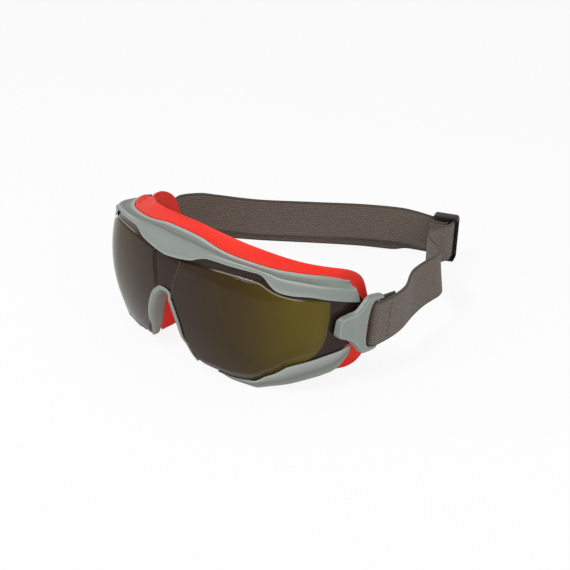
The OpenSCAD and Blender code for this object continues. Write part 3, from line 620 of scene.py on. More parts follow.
def brow_profile(s):
    """Rolled lower edge, face up to a crisp ridge, a groove behind it, and a raised lip at the seal."""
    a = abs(s)
    low, front, top = along(a, BROW_LOW), along(a, BROW_FRONT), along(a, BROW_TOP)
    back = -along(a, BROW_DEPTH)
    face = lens_out(s, low)
    out = face + mix(FRAME_PROUD, SIDE_PROUD, ramp(a, *BROW_PROUD_RUN))
    rise = top - front
    notch = ramp(a, *WINDOW_RISE) * (1 - ramp(a, *WINDOW_FALL))
    groove = BROW_GROOVE * (1 - 0.6 * notch)
    roof = max(face, lens_out(s, front - ROOF_T)) + SEAT_GAP + 0.2
    side = ramp(a, *BROW_SIDE_RUN)

    def top_face(d, below):
        return d, front + rise * (RIDGE_D - d) / (RIDGE_D - back) - below
    groove_in, groove_out = mix(back + 5.4, RIDGE_D - 1.3, side), mix(back + 2.4, RIDGE_D - 4.6, side)
    pts = [(out, low), (mix(out, RIDGE_D, 0.5), mix(low, front, 0.75)), (RIDGE_D, front),
           top_face(groove_in, 0.2), top_face(mix(groove_in, groove_out, 0.5), groove + 0.2),
           top_face(groove_out, 0.6 * groove), (back + 1.5, top - 0.45), (back + 0.9, top + 0.05),
           (back, top), (back, top - FRAME_T),
           (-4.4, front + 0.5 * rise - mix(FRAME_T, ROOF_T, notch)), (roof, front - ROOF_T),
           (face + SEAT_GAP + 0.2, low)]
    radii = [0.45, 3.0, mix(3.0, 0.4, side), 0.5, 0.8, 0.8, 0.35, 0.3, 0.3, 0.3, 1.0, 0.3, 0.3]
    lean = BROW_END_LEAN * ramp(a, BROW_LEAN_START, BROW_END)
    return [wall(math.copysign(a - lean * (h - low), s), d, h) for d, h in rounded(pts, radii)]


# Painted shade and painted highlights at the brow's corners, in the order of its profile: shade in the
# groove, highlights on the rolled lower edge, the lip and the ridge
BROW_PAINTED_SHADE = [0, 0, 0, 0.2, 1, 0.7, 0, 0, 0, 0, 0, 0, 0]
BROW_PAINTED_HIGHLIGHT = [0.5, 0, 0, 0, 0, 0, 0.5, 1, 0.3, 0, 0, 0, 0]
BROW_RIDGE_HIGHLIGHT = [0, 0, 0.9, 0, 0, 0, 0, 0, 0, 0, 0, 0, 0]
# How much the painted shade and highlights fade out towards the temples, and over what run; then where the
# ridge's painted highlight fades in
PAINTED_LIGHT_LOSS, PAINTED_LIGHT_LOSS_RUN = 0.7, (78, 96)
RIDGE_RUN = (24, 40)


def build_brow():
    stations = steps(-BROW_END, BROW_END, MOULDING_SPACING)
    verts, faces = skin([brow_profile(s) for s in stations])
    relief = []
    for s in stations:
        # Each point's painted shade, then its painted highlight
        fade = 1 - PAINTED_LIGHT_LOSS * ramp(abs(s), *PAINTED_LIGHT_LOSS_RUN)
        ridge = fade * ramp(abs(s), *RIDGE_RUN)
        relief += [(fade * deep, fade * lip + ridge * crest) for deep, lip, crest
                   in zip(corner_tones(BROW_PAINTED_SHADE), corner_tones(BROW_PAINTED_HIGHLIGHT), corner_tones(BROW_RIDGE_HIGHLIGHT))]
    add_piece("brow_moulding", verts, faces, "frame_grey_painted_light", "goggle", ["brow_frame"],
              uv={"relief": relief})


build_brow()

# ---------- cheek frames ----------
CHEEK_START = 30.0
CHEEK_END = 102.4
CHEEK_SHELF = -8.0
CHEEK_END_SHELF = -4.6
CHEEK_SHELF_T = 0.8
CHEEK_WALL_T = 1.4
CHEEK_RECESS = -0.4
CHEEK_FOOT = 0.8
CHEEK_TAPER = 11
CHEEK_SHELF_RUN = 8
CHEEK_WALL_RUN = 4


def cheek_profile(s, side):
    """Face over the lens's edge with a crease along it, a floor, and a wall behind the lens."""
    low = max(-NOSE_H, along(s, CHEEK_LOW))
    up = max(along(s, CHEEK_UP), low + 0.5)
    edge = along(s, LENS_LOW) - SEAT_GAP
    low = mix(max(low, edge - 1.2), low, ramp(s, CHEEK_START, CHEEK_START + CHEEK_TAPER))
    lap = ramp(up - edge, -1.5, 0)
    out = mix(CHEEK_RECESS, lens_out(s, up) + SIDE_PROUD, lap)
    foot = mix(CHEEK_RECESS, CHEEK_FOOT, lap)
    skirt = out - mix(FRAME_T - 0.6, SIDE_PROUD - SEAT_GAP - 0.2, lap)
    row = min(edge - 0.1, up - 0.2)
    skirt_low = mix(skirt, lens_out(s, row + 0.6) + SEAT_GAP + 0.4, lap)
    floor_h = min(low, edge - 0.9)
    shelf_h = floor_h + CHEEK_SHELF_T
    shelf_d = mix(CHEEK_SHELF, CHEEK_END_SHELF, ramp(s, CHEEK_END - CHEEK_SHELF_RUN, CHEEK_END))
    wall_h = max(shelf_h, mix(edge + 0.8, shelf_h, ramp(s, CHEEK_END - CHEEK_WALL_RUN, CHEEK_END)))
    crease = min(max(along(s, CHEEK_CREASE), mix(low, up, 0.15)), mix(low, up, 0.85))
    pts = [(out, up), (mix(out, foot, 0.3), crease), (foot, low), (foot - 1.2, floor_h), (shelf_d, floor_h),
           (shelf_d, wall_h), (shelf_d + CHEEK_WALL_T, wall_h), (shelf_d + CHEEK_WALL_T, shelf_h),
           (foot - 1.2, min(edge - 0.1, shelf_h)), (skirt_low, row), (skirt, up)]
    radii = [0.35, 0.4, 0.8, 0.6, 0.3, 0.3, 0.3, 0.3, 0.2, 0.2, 0.2]
    return [wall(side * s, d, h) for d, h in rounded(pts, radii)]


# Painted shade in the crease and a painted highlight on the upper edge, at the cheek's corners, in the order
# of its profile
CHEEK_PAINTED_SHADE = [0, 0.9, 0, 0, 0, 0, 0, 0, 0, 0, 0]
CHEEK_PAINTED_HIGHLIGHT = [0.8, 0, 0, 0, 0, 0, 0, 0, 0, 0, 0]


def build_cheeks():
    for side, name in ((1, "left"), (-1, "right")):
        stations = steps(CHEEK_START, CHEEK_END, MOULDING_SPACING)
        verts, faces = skin([cheek_profile(s, side) for s in stations])
        # Painted shade, then painted highlight, for each point of each section
        relief = list(zip(corner_tones(CHEEK_PAINTED_SHADE), corner_tones(CHEEK_PAINTED_HIGHLIGHT))) * len(stations)
        add_piece("cheek_moulding_" + name, verts, faces, "frame_grey_painted_light", "goggle",
                  ["cheek_frame_" + name], uv={"relief": relief})


build_cheeks()

# ---------- nose bridge ----------
NOTCH_END = 19.0
BRIDGE_SPACING = 0.35
# The lip thins over this run at its ends, and it and the wall thin over these heights
LIP_TAPER = (0, 4)
LIP_HEIGHTS = (-26, -8)
BRIDGE_HEIGHTS = (-28, -14)


def build_bridge():
    knots = [(s, along(abs(s), LENS_LOW)) for s in steps(NOTCH_END, -NOTCH_END, BRIDGE_SPACING)]
    rings = []
    for i, (s, h) in enumerate(knots):
        a, b = Vector(knots[max(i - 1, 0)]), Vector(knots[min(i + 1, len(knots) - 1)])
        t = (b - a).normalized()
        n = Vector((t.y, -t.x))
        out = lens_out(s, h) + SEAT_GAP
        lip = mix(mix(-0.3, 0.35, ramp(NOTCH_END - abs(s), *LIP_TAPER)), 1.1, ramp(h, *LIP_HEIGHTS))
        deep = mix(0.9, FRAME_T, ramp(h, *BRIDGE_HEIGHTS))
        pts = [(-SEAT_GAP, -NOSE_WALL_D), (-SEAT_GAP, out), (lip, out + 0.25), (lip - 0.3, out + 0.8),
               (-0.6 * deep, out + 0.8), (-SEAT_GAP - deep, out - 0.4 * deep),
               (-SEAT_GAP - deep, -NOSE_WALL_D)]
        radii = [0.2, 0.1, 0.2, 0.3, 0.9, 0.9, 0.2]
        rings.append([wall(s + q * n.x, d, h + q * n.y) for q, d in rounded(pts, radii)])
    verts, faces = skin(rings)
    add_piece("bridge_moulding", verts, faces, "frame_grey", "goggle", ["nose_bridge"])


build_bridge()


# ---------- face seal ----------
# Where the seal's fold behind the brow runs out, and the height above which it has one
FOLD_RUN = (92, 104)
FOLD_H = 6
SEAL_SPAN_STEPS = 8


def mirrored_loop(half):
    return list(half) + [(-p[0],) + tuple(p[1:]) for p in half[-2:0:-1]]


def loop_normal(loop, i):
    a, b = loop[i - 1], loop[(i + 1) % len(loop)]
    t = Vector((b.x - a.x, b.y - a.y)).normalized()
    return Vector((-t.y, t.x, 0))


def seal_ring(base, rim, i):
    """Section of the seal: a rolled lip behind the brow, a trough, the wall, and a thin rim."""
    b, r = base[i], rim[i].copy()
    r.y = max(r.y, -NOSE_H)
    n = loop_normal(base, i)
    out_run, back_run = (r - b).dot(n), r.z - b.z
    inward = (n * back_run - Vector((0, 0, out_run))) / math.hypot(out_run, back_run)
    a = abs(b.x)
    w = 1 - ramp(a, *FOLD_RUN) if b.y > FOLD_H else 0.0
    top, back = along(a, BROW_TOP), -along(a, BROW_DEPTH) - SEAT_GAP

    def at(h, d):
        return Vector((b.x, h, d))
    plain = [mix(b, r, 0.1), mix(b, r, 0.25), mix(b, r, 0.4), mix(b, r, 0.6) + SEAL_BOW * inward,
             mix(b, r, 0.85)]
    shaped = [at(top - FRAME_T - 0.4, back), at(top + 0.5, back - 0.1), at(top + 0.5, back - 1.1),
              at(top - 1.3, back - 3.2), mix(at(top - 1.3, back - 3.2), r, 0.72) + 0.5 * inward]
    outer = [mix(p, q, w) for p, q in zip(plain, shaped)]
    inner = [r + 0.8 * SEAL_T * inward,
             mix(plain[3], at(top - 1.4 - SEAL_T, back - 3), w) + mix(SEAL_T, 0, w) * inward,
             mix(plain[1], at(top - FRAME_T - 1.2, back - 1.4), w) + mix(SEAL_T, 0.6, w) * inward,
             b + SEAL_T * inward]
    pts = [b] + outer + [r] + inner
    radii = [0.3, 0.6, 0.45, 0.7, 2.2, 3.0, 0.5, 0.7, 2.0, 2.0, 0.3]
    return [wall(p.x, p.z, p.y) for p in rounded(pts, radii, 5)]


def build_seal():
    base = curve(mirrored_loop(SEAL_BASE), SEAL_SPAN_STEPS, closed=True)
    rim = curve(mirrored_loop(SEAL_RIM), SEAL_SPAN_STEPS, closed=True)
    verts, faces = skin([seal_ring(base, rim, i) for i in range(len(base))], closed=True)
    obj = add_piece("seal_skirt", verts, faces, "seal_red", "goggle", ["face_seal"], sharp=60)


build_seal()

# ---------- strap clips ----------
SLOT_HALF = STRAP_W / 2 + STRAP_GAP
ARM_T = 3.3
ARM_END = BAR_REACH + 3.6
TIP_REACH = 8.0
SLOT_FRONT = 8.0
CLIP_HALF = [(-TIP_REACH, 4), (-TIP_REACH + 1.6, 5.6), (-2, 7), (0.6, 8.6), (3.6, 12.2), (6.4, 15.2),
             (8.6, SLOT_HALF + ARM_T), (ARM_END - 1.4, SLOT_HALF + ARM_T - 0.6),
             (ARM_END, SLOT_HALF + ARM_T - 1.8), (ARM_END, SLOT_HALF)]
SLOT_SIDE = [(SLOT_FRONT + 3.2, SLOT_HALF), (SLOT_FRONT + 1.6, SLOT_HALF - 1.6), (SLOT_FRONT + 0.2, 6)]
CLIP_CELL = 0.5
CLIP_CHAMFER = 1.0
CLIP_EDGE_DROP = 0.5
CLIP_BEAD = 0.12
CLIP_BEAD_HALF_W = 0.45
# The clip's rounded edge: how wide and how deep it is on the outer face, and on the inner one
CLIP_EDGE_R = 0.35
CLIP_BACK_W, CLIP_BACK_DROP = 0.4, 0.25
# Run along the wall from the pivot over which the clip lifts clear of the frame's ends
LIFT_RUN = (-1, 3.4)
CLIP_FIT_ROUNDS = 12


def clip_outline():
    upper = CLIP_HALF + SLOT_SIDE
    full = upper + [(u, -v) for u, v in reversed(upper)]
    radii = [1.0, 1.6, 3, 3, 4, 3, 2, 1.5, 1.2, 0.8, 1.5, 1.2, 4]
    return [tuple(p) for p in rounded(full, radii + radii[::-1], 5)]


def clip_offset(s):
    return TONGUE_GAP + ARM_LIFT * ramp(s, PIVOT_S + LIFT_RUN[0], PIVOT_S + LIFT_RUN[1])


def edge_distance(p, outline):
    best = 1e9
    for i, a in enumerate(outline):
        a, b = Vector(a), Vector(outline[(i + 1) % len(outline)])
        t = b - a
        u = 0.0 if t.length_squared < 1e-12 else min(max((p - a).dot(t) / t.length_squared, 0), 1)
        best = min(best, (p - a - t * u).length)
    return best


def gridded(outline, size):
    """Flat mesh of the outline, cut into small cells."""
    bm = bmesh.new()
    bm.faces.new([bm.verts.new((u, v, 0)) for u, v in outline])
    for axis in (0, 1):
        lo, hi = min(p[axis] for p in outline), max(p[axis] for p in outline)
        normal = Vector((1, 0, 0)) if axis == 0 else Vector((0, 1, 0))
        for k in range(1, int((hi - lo) / size) + 1):
            geom = bm.verts[:] + bm.edges[:] + bm.faces[:]
            bmesh.ops.bisect_plane(bm, geom=geom, plane_co=normal * (lo + k * size), plane_no=normal)
    bmesh.ops.remove_doubles(bm, verts=bm.verts, dist=1e-4)
    return bm


def clip_point(u, v, out, side):
    """Point of the clip: u along the strap and v across it from the pivot, out from its inner face."""
    droop = math.radians(-CLIP_DROOP)
    y = u * math.cos(droop) - v * math.sin(droop)
    h = u * math.sin(droop) + v * math.cos(droop)
    s = PIVOT_S
    for _ in range(CLIP_FIT_ROUNDS):
        s += (PIVOT_Y + y - wall(s, clip_offset(s) + out, 0).y) * 0.95
    p = wall(s, clip_offset(s) + out, h - PIVOT_DROP)
    return Vector((side * p.x, p.y, p.z))


def clip_face(e):
    """Height of the clip's outer face at distance e from its edge: a chamfer up to a thin raised bead."""
    rise = min(1.0, e / CLIP_CHAMFER)
    bead = max(0.0, 1 - abs(e - CLIP_CHAMFER) / CLIP_BEAD_HALF_W)
    return (CLIP_T - CLIP_BEAD - CLIP_EDGE_DROP * (1 - rise) ** 1.2
            - CLIP_EDGE_R * max(0.0, 1 - e / CLIP_EDGE_R) + CLIP_BEAD * bead)


def clip_painted_light(e):
    """Painted shade and highlight at distance e from the clip's edge: painted shade on the chamfer and a
    painted highlight on the bead.
    """
    bead = max(0.0, 1 - abs(e - CLIP_CHAMFER) / 0.4)
    return 0.5 * (1 - ramp(e, CLIP_CHAMFER - 0.5, CLIP_CHAMFER - 0.2)), 0.7 * bead


def build_clip(side, name, body):
    outline = clip_outline()
    bm = gridded(outline, CLIP_CELL)
    bm.verts.index_update()
    flat = [v.co.copy() for v in bm.verts]
    faces = [tuple(v.index for v in f.verts) for f in bm.faces]
    edges = [tuple(v.index for v in e.verts) for e in bm.edges if len(e.link_faces) == 1]
    bm.free()
    depth = [edge_distance(p.to_2d(), outline) for p in flat]
    # Painted shade and highlight on the outer face only
    relief = [clip_painted_light(e) for e in depth] + [(0, 0)] * len(flat)
    n = len(flat)
    verts = [clip_point(p.x, p.y, clip_face(e), side) for p, e in zip(flat, depth)]
    verts += [clip_point(p.x, p.y, CLIP_BACK_DROP * (1 - min(1.0, e / CLIP_BACK_W)), side)
              for p, e in zip(flat, depth)]
    faces += [tuple(i + n for i in reversed(f)) for f in faces]
    faces += [(a, b, b + n, a + n) for a, b in edges]
    add_piece("clip_moulding_" + name, verts, faces, "frame_grey_painted_light", body, ["strap_clip_" + name],
              uv={"relief": relief}, sharp=42)
    build_clip_bar(side, name, body)


def build_clip_bar(side, name, body):
    mid = clip_point(BAR_REACH, 0, CLIP_T / 2, side)
    tilt = Matrix.Rotation(math.radians(-CLIP_DROOP), 4, "X")
    rod = bmesh.new()
    bmesh.ops.create_cone(rod, cap_ends=True, segments=32, radius1=BAR_R * MM, radius2=BAR_R * MM,
                          depth=(2 * SLOT_HALF + 2) * MM, matrix=Matrix.Translation(to_row(mid)) @ tilt)
    for f in rod.faces:
        f.smooth = len(f.verts) == 4
    mesh = bpy.data.meshes.new("bar")
    rod.to_mesh(mesh)
    rod.free()
    bar = bpy.data.objects.new("clip_bar_" + name, mesh)
    scene.collection.objects.link(bar)
    finish_piece(bar, "frame_grey", body)


build_clip(1, "left", "strap")
build_clip(-1, "right", "clip_right")

# ---------- webbing ----------
BAR_X = wall(PIVOT_S + BAR_REACH, TONGUE_GAP + ARM_LIFT + CLIP_T / 2, 0).x
BAR = Vector((BAR_X, PIVOT_Y + BAR_REACH * math.cos(math.radians(CLIP_DROOP)),
              -PIVOT_DROP - BAR_REACH * math.sin(math.radians(CLIP_DROOP))))
TURN_R = BAR_R + STRAP_GAP + STRAP_T / 2
RUN_DIR = Vector((-math.cos(math.radians(RUN_TURN)), -math.sin(math.radians(RUN_TURN)), 0))
RUN_IN = Vector((-math.sin(math.radians(RUN_TURN)), math.cos(math.radians(RUN_TURN)), 0))
PIN_V = STRAP_T / 2 + STRAP_GAP + STRAP_T + STRAP_GAP + SLIDER_PIN_R
PIN_U = SLIDER_LEN / 2 + SLIDER_U
WRAP_R = SLIDER_PIN_R + STRAP_GAP + STRAP_T / 2
FOLD_STEPS, WRAP_STEPS = 8, 6


def on_run(u, v=0.0, dz=0.0):
    return RUN_START + RUN_DIR * u - RUN_IN * v + Vector((0, 0, dz))


def by_bar(side, x, y, z):
    return Vector((side * (BAR.x + x), BAR.y + y, BAR.z + z))


def round_bar(side):
    """Half turn round a clip's bar, from the side nearer the head to the outer side."""
    out = []
    droop = math.radians(CLIP_DROOP)
    for k in range(FOLD_STEPS + 1):
        t = math.pi * k / FOLD_STEPS
        out.append(by_bar(side, -TURN_R * math.cos(t), -TURN_R * math.sin(t) * math.cos(droop),
                          TURN_R * math.sin(t) * math.sin(droop)))
    return out


def wrap_round_pin():
    """Half turn of the return webbing round the slider's pin."""
    turns = [math.pi * k / WRAP_STEPS for k in range(WRAP_STEPS + 1)]
    return [on_run(PIN_U - WRAP_R * math.sin(t), PIN_V - WRAP_R * math.cos(t)) for t in turns]


def course(points):
    """Path points given as [sideways, share of the strap's reach, height]."""
    return [(x, PIVOT_Y + y * STRAP_REACH, z) for x, y, z in points]


LEFT_COURSE = [(86.4, 0.259, -9.4), (83.3, 0.345, -9), (81.3, 0.424, -8.8), (80.7, 0.488, -9),
               (79.7, 0.545, -9.8), (76.2, 0.595, -10.8), (67.8, 0.643, -12), (58.4, 0.685, -14.1),
               (51.4, 0.726, -15), (47.9, 0.774, -16.1), (46.4, 0.832, -17.6), (46.5, 0.887, -19.2),
               (46.2, 0.924, -20.4), (45.2, 0.951, -21.2), (43.6, 0.971, -21.7)]
REAR_COURSE = [(-13, 0.820, -24.8), (-34, 0.665, -21.7), (-56.8, 0.491, -18.3), (-73, 0.354, -14.4),
               (-82, 0.250, -11.2), (-86, 0.183, -8.8)]
RETURN_COURSE = [(-80, 0.196, -4.8), (-75, 0.276, -5.6), (-69, 0.339, -8), (-53.8, 0.474, -12.9),
                 (-31.4, 0.645, -15.8), (-10.6, 0.800, -18.2)]
LEFT_PATH = ([by_bar(1, -1.4, FOLD_LEN, -2.2), by_bar(1, -1.8, 9, -1.2), by_bar(1, 0.1 - TURN_R, 3, -0.4)]
             + round_bar(1)
             + [by_bar(1, TURN_R - 0.2, 3, -0.4), by_bar(1, 1.6, 9, -1.2), by_bar(1, 0.6, FOLD_LEN, -2.2)]
             + course(LEFT_COURSE) + [on_run(SEAM_U - 2.8, 0.1), on_run(SEAM_U)])
RETURN_START = by_bar(-1, 0, 4, -0.6) + Vector((TURN_R + 0.2, 0, 0))
REAR_PATH = ([on_run(SEAM_U + 0.1), on_run(SEAM_U + 3), on_run(18), on_run(34), on_run(RUN_LEN, 0, -2.4)]
             + course(REAR_COURSE) + [by_bar(-1, TURN_R - 0.2, 3, -0.3)] + round_bar(-1)[::-1]
             + [by_bar(-1, -TURN_R - 0.1, 2, -0.3), RETURN_START - Vector((0, 0.1, 0))])
RETURN_PATH = ([RETURN_START, RETURN_START + Vector((0.2, 3, -0.2)), RETURN_START + Vector((1, 7, 0))]
               + course(RETURN_COURSE)
               + [on_run(RUN_LEN - 2, 3.3, 4.2), on_run(30, 2.5, 3.4), on_run(PIN_U + 4, PIN_V - WRAP_R, 0.6)]
               + wrap_round_pin()
               + [on_run(PIN_U + 4, PIN_V + WRAP_R), on_run(PIN_U + 9, PIN_V + WRAP_R - 0.3)])


# How far the left webbing's upper edge leans inwards past the temple
TUCK = math.radians(9)
# Where the lean starts, sideways, and where it starts and stops, front to back
TUCK_SIDE, TUCK_START, TUCK_STOP = (40, 60), (84, 104), (128, 150)
# The webbing's section: columns across each face, and how its sides are rounded
FACE_COLUMNS = 12
SIDE_INSET, SIDE_ROUND, SIDE_SHARE = 0.5, 0.12, 0.72
WEBBING_STEPS = 10


def webbing_frame(path, i):
    """Middle, outward half thickness and upward half width of the webbing at point i of its path."""
    a, b = path[max(i - 1, 0)], path[min(i + 1, len(path) - 1)]
    t = Vector((b.x - a.x, b.y - a.y, 0)).normalized()
    out = Vector((t.y, -t.x, 0))
    lean = math.radians(CLIP_DROOP) * (1 - ramp(path[i].y - BAR.y, 2, FOLD_LEN + 12))
    up = Vector((0, math.sin(lean), math.cos(lean)))
    x, y = path[i].x, path[i].y
    tuck = TUCK * ramp(x, *TUCK_SIDE) * ramp(y, *TUCK_START) * (1 - ramp(y, *TUCK_STOP))
    tilted = up * math.cos(tuck) - out * math.sin(tuck)
    return path[i] + (tilted - up) * STRAP_W / 2, out * math.cos(tuck) + up * math.sin(tuck), tilted


def webbing_section():
    """Outline of the webbing as (across, share of half its thickness)."""
    half = STRAP_W / 2
    across = [mix(-half + SIDE_INSET, half - SIDE_INSET, k / FACE_COLUMNS) for k in range(FACE_COLUMNS + 1)]
    turn = half - SIDE_ROUND
    return ([(v, -1) for v in reversed(across)] + [(-turn, -SIDE_SHARE), (-half, 0), (-turn, SIDE_SHARE)]
            + [(v, 1) for v in across] + [(turn, SIDE_SHARE), (half, 0), (turn, -SIDE_SHARE)])


def webbing_mesh(points):
    path = curve(points, WEBBING_STEPS)
    section, edge = webbing_section(), STRAP_T / 2
    rings, uv, run = [], [], 0.0
    for i, p in enumerate(path):
        run += (p - path[i - 1]).length if i else 0.0
        mid, out, up = webbing_frame(path, i)
        rings.append([mid + out * (k * edge) + up * v for v, k in section])
        uv += [(run, v) for v, _ in section]
    verts, faces = skin(rings)
    return verts, faces, uv


def build_webbing(name, points, replaced):
    verts, faces, uv = webbing_mesh(points)
    return add_piece(name, verts, faces, "webbing", "strap" if replaced != "strap_return" else None,
                     [replaced], uv={"cloth": uv}, sharp=60)


build_webbing("webbing_front", LEFT_PATH, "strap_left")
build_webbing("webbing_rear", REAR_PATH, "strap_rear")
tail = build_webbing("webbing_return", RETURN_PATH, "strap_return")
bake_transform(tail)


# ---------- stitches ----------
STITCH_LEN = 1.9
STITCH_GAP = 0.7
STITCH_SIDES = 6
THREAD_R = 0.17
# How far the thread stands out, in shares of its radius, and how far its ends sink in
THREAD_SEAT, THREAD_DIP = 0.6, 0.1
# Bare webbing below and above a row
ROW_START, ROW_END = 2.0, 1.5
LOOP_ROWS, RETURN_ROWS = (-0.55, 0.55), (-0.5, 0.5)
RETURN_ROW_BACK = 4


def stitch(centre, t, out, up, v):
    """One bar of thread from v upwards, thinner and sunk at both ends; t runs along the strap."""
    rings = []
    for w, k in ((0.0, 0.5), (0.2, 1.0), (STITCH_LEN - 0.2, 1.0), (STITCH_LEN, 0.5)):
        c = centre + up * (v + w) - out * (THREAD_DIP * (1 - k))
        turns = [q * 2 * math.pi / STITCH_SIDES for q in range(STITCH_SIDES)]
        rings.append([c + (t * math.cos(q) + out * math.sin(q)) * THREAD_R * k for q in turns])
    return skin(rings)


def stitch_rows(path, index, offsets):
    """Short bars of thread in rows across the webbing, on its outer face."""
    verts, faces = [], []
    base, out, up = webbing_frame(path, index)
    t = (path[index + 1] - path[index]).normalized()
    for shift in offsets:
        centre = base + t * shift + out * (STRAP_T / 2 + THREAD_R * THREAD_SEAT)
        v = -STRAP_W / 2 + ROW_START
        while v + STITCH_LEN < STRAP_W / 2 - ROW_END:
            new_verts, new_faces = stitch(centre, t, out, up, v)
            faces += [tuple(x + len(verts) for x in f) for f in new_faces]
            verts += new_verts
            v += STITCH_LEN + STITCH_GAP
    return verts, faces


def build_stitches():
    front = curve(LEFT_PATH, WEBBING_STEPS)
    seam = by_bar(1, 1.6, 9.6, -1.3)
    seam_at = min(range(len(front)), key=lambda i: (front[i] - seam).length)
    verts, faces = stitch_rows(front, seam_at, LOOP_ROWS)
    add_piece("loop_stitches", verts, faces, "thread", "strap", ["loop_stitching"])
    back = curve(RETURN_PATH, WEBBING_STEPS)
    verts, faces = stitch_rows(back, len(back) - RETURN_ROW_BACK, RETURN_ROWS)
    add_piece("return_stitches", verts, faces, "thread", "slider", ["return_stitching"])


build_stitches()


# ---------- slider ----------
SLIDER_CORNER_R = 1.8
SLIDER_CORNER_STEPS = 6
SLIDER_EDGE_R = 0.00045
SLIDER_EDGE_STEPS = 4


def slider_corners(bm):
    """The edges across the webbing's thickness at the slider's four outer corners."""
    along_run = [RUN_DIR.dot(v.co) for v in bm.verts]
    heights = [v.co.z for v in bm.verts]
    ends = (min(along_run), max(along_run), min(heights), max(heights))

    def at_corner(v):
        near = [min(abs(RUN_DIR.dot(v.co) - e) for e in ends[:2]), min(abs(v.co.z - e) for e in ends[2:])]
        return max(near) < 0.05 * MM
    return [e for e in bm.edges if all(at_corner(v) for v in e.verts)
            and abs((e.verts[0].co - e.verts[1].co).normalized().dot(RUN_IN)) > 0.99]


def build_slider():
    """The CAD slider's own shape, with every edge moulded round."""
    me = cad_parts["slider"].data.copy()
    bm = bmesh.new()
    bm.from_mesh(me)
    bmesh.ops.remove_doubles(bm, verts=bm.verts, dist=1e-6)
    bmesh.ops.dissolve_limit(bm, angle_limit=math.radians(3), verts=bm.verts, edges=bm.edges)
    bmesh.ops.connect_verts_concave(bm, faces=bm.faces)
    corners = slider_corners(bm)
    bmesh.ops.bevel(bm, geom=corners, offset=SLIDER_CORNER_R * MM, segments=SLIDER_CORNER_STEPS, profile=0.5,
                    affect="EDGES")
    bm.to_mesh(me)
    bm.free()
    obj = bpy.data.objects.new("slider_moulding", me)
    scene.collection.objects.link(obj)
    edge = obj.modifiers.new("edge", "BEVEL")
    edge.width = SLIDER_EDGE_R
    edge.segments = SLIDER_EDGE_STEPS
    edge.limit_method = "ANGLE"
    edge.angle_limit = math.radians(40)
    apply_modifiers(obj)
    for poly in obj.data.polygons:
        poly.use_smooth = True
    obj.data.set_sharp_from_angle(angle=math.radians(50))
    finish_piece(obj, "slider_black", "slider", ["slider"])


build_slider()

# ---------- CAD pieces that are shown as they are ----------
def hidden_piece_material(name):
    if name == "lens_carrier":
        return "carrier_dark"
    return "pin_steel" if name.startswith("pivot_") else "frame_grey"


def dress_cad_pieces():
    for name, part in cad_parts.items():
        if part.hide_render:
            continue
        part.data.materials.clear()
        part.data.materials.append(MATERIALS[hidden_piece_material(name)])
        part.data.set_sharp_from_angle(angle=math.radians(35))


dress_cad_pieces()


# ---------- stage, light and camera ----------
FLOOR_SIZE = 8
FLOOR_DROP = 0.0002
# Share of plain white in what the camera sees of the floor
FLOOR_GLOW = 0.9
WORLD_LIT, WORLD_SHOWN = 0.48, 1.0
LIGHT_TARGET = (0, 0, 0.03)


def seen_directly(tree):
    """1 for what the camera sees itself or through the lens."""
    rays = node(tree, "ShaderNodeLightPath")
    seen = node(tree, "ShaderNodeMath", operation="MAXIMUM")
    tree.links.new(rays.outputs["Is Camera Ray"], seen.inputs[0])
    tree.links.new(rays.outputs["Is Transmission Ray"], seen.inputs[1])
    return seen.outputs[0]


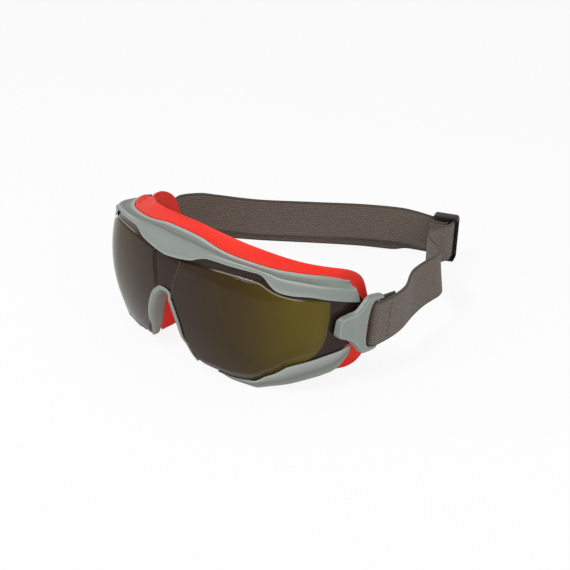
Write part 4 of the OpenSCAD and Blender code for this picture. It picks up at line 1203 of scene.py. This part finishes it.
def make_stage():
    bpy.ops.mesh.primitive_plane_add(size=FLOOR_SIZE, location=(0, 0, -FLOOR_DROP))
    floor = bpy.context.object
    floor.name = "floor"
    mat, tree, bsdf = principled("floor_white", (0.9, 0.9, 0.9), 0.8)
    out = tree.nodes["Material Output"]
    glow = node(tree, "ShaderNodeEmission", Color=(1, 1, 1, 1), Strength=1.0)
    blend = node(tree, "ShaderNodeMixShader")
    tree.links.new(scaled(tree, seen_directly(tree), FLOOR_GLOW), blend.inputs["Fac"])
    tree.links.new(bsdf.outputs["BSDF"], blend.inputs[1])
    tree.links.new(glow.outputs["Emission"], blend.inputs[2])
    tree.links.new(blend.outputs["Shader"], out.inputs["Surface"])
    floor.data.materials.append(mat)


def make_world():
    world = bpy.data.worlds.new("studio")
    scene.world = world
    world.use_nodes = True
    tree = world.node_tree
    tree.nodes.clear()
    lit = node(tree, "ShaderNodeBackground", Color=(1, 1, 1, 1), Strength=WORLD_LIT)
    shown = node(tree, "ShaderNodeBackground", Color=(1, 1, 1, 1), Strength=WORLD_SHOWN)
    blend = node(tree, "ShaderNodeMixShader")
    out = node(tree, "ShaderNodeOutputWorld")
    tree.links.new(seen_directly(tree), blend.inputs["Fac"])
    tree.links.new(lit.outputs["Background"], blend.inputs[1])
    tree.links.new(shown.outputs["Background"], blend.inputs[2])
    tree.links.new(blend.outputs["Shader"], out.inputs["Surface"])


def area_light(name, place, target, size, power):
    data = bpy.data.lights.new(name, "AREA")
    data.size = size
    data.energy = power
    lamp = bpy.data.objects.new(name, data)
    lamp.location = place
    lamp.rotation_euler = (Vector(target) - Vector(place)).to_track_quat("-Z", "Y").to_euler()
    scene.collection.objects.link(lamp)


CAMERA_AZIMUTH = 44.0
CAMERA_ELEVATION = 28.87
CAMERA_DISTANCE = 0.50007
CAMERA_LENS = 56.56
CAMERA_TARGET = (17.90, 65.70, -15.09)


def make_camera():
    a, e = math.radians(CAMERA_AZIMUTH), math.radians(CAMERA_ELEVATION)
    back = Vector((math.sin(a) * math.cos(e), -math.cos(a) * math.cos(e), math.sin(e)))
    data = bpy.data.cameras.new("camera")
    data.lens = CAMERA_LENS
    data.sensor_width = 36.0
    data.clip_start = 0.01
    camera = bpy.data.objects.new("camera", data)
    camera.location = to_row(CAMERA_TARGET) + back * CAMERA_DISTANCE
    camera.rotation_euler = (-back).to_track_quat("-Z", "Y").to_euler()
    scene.collection.objects.link(camera)
    scene.camera = camera


make_stage()
make_world()
area_light("key", (-0.1, -0.6, 1.0), LIGHT_TARGET, 0.35, 6.0)
area_light("fill", (0.9, -0.2, 0.5), LIGHT_TARGET, 0.5, 2.0)
make_camera()
scene.view_settings.view_transform = "Standard"
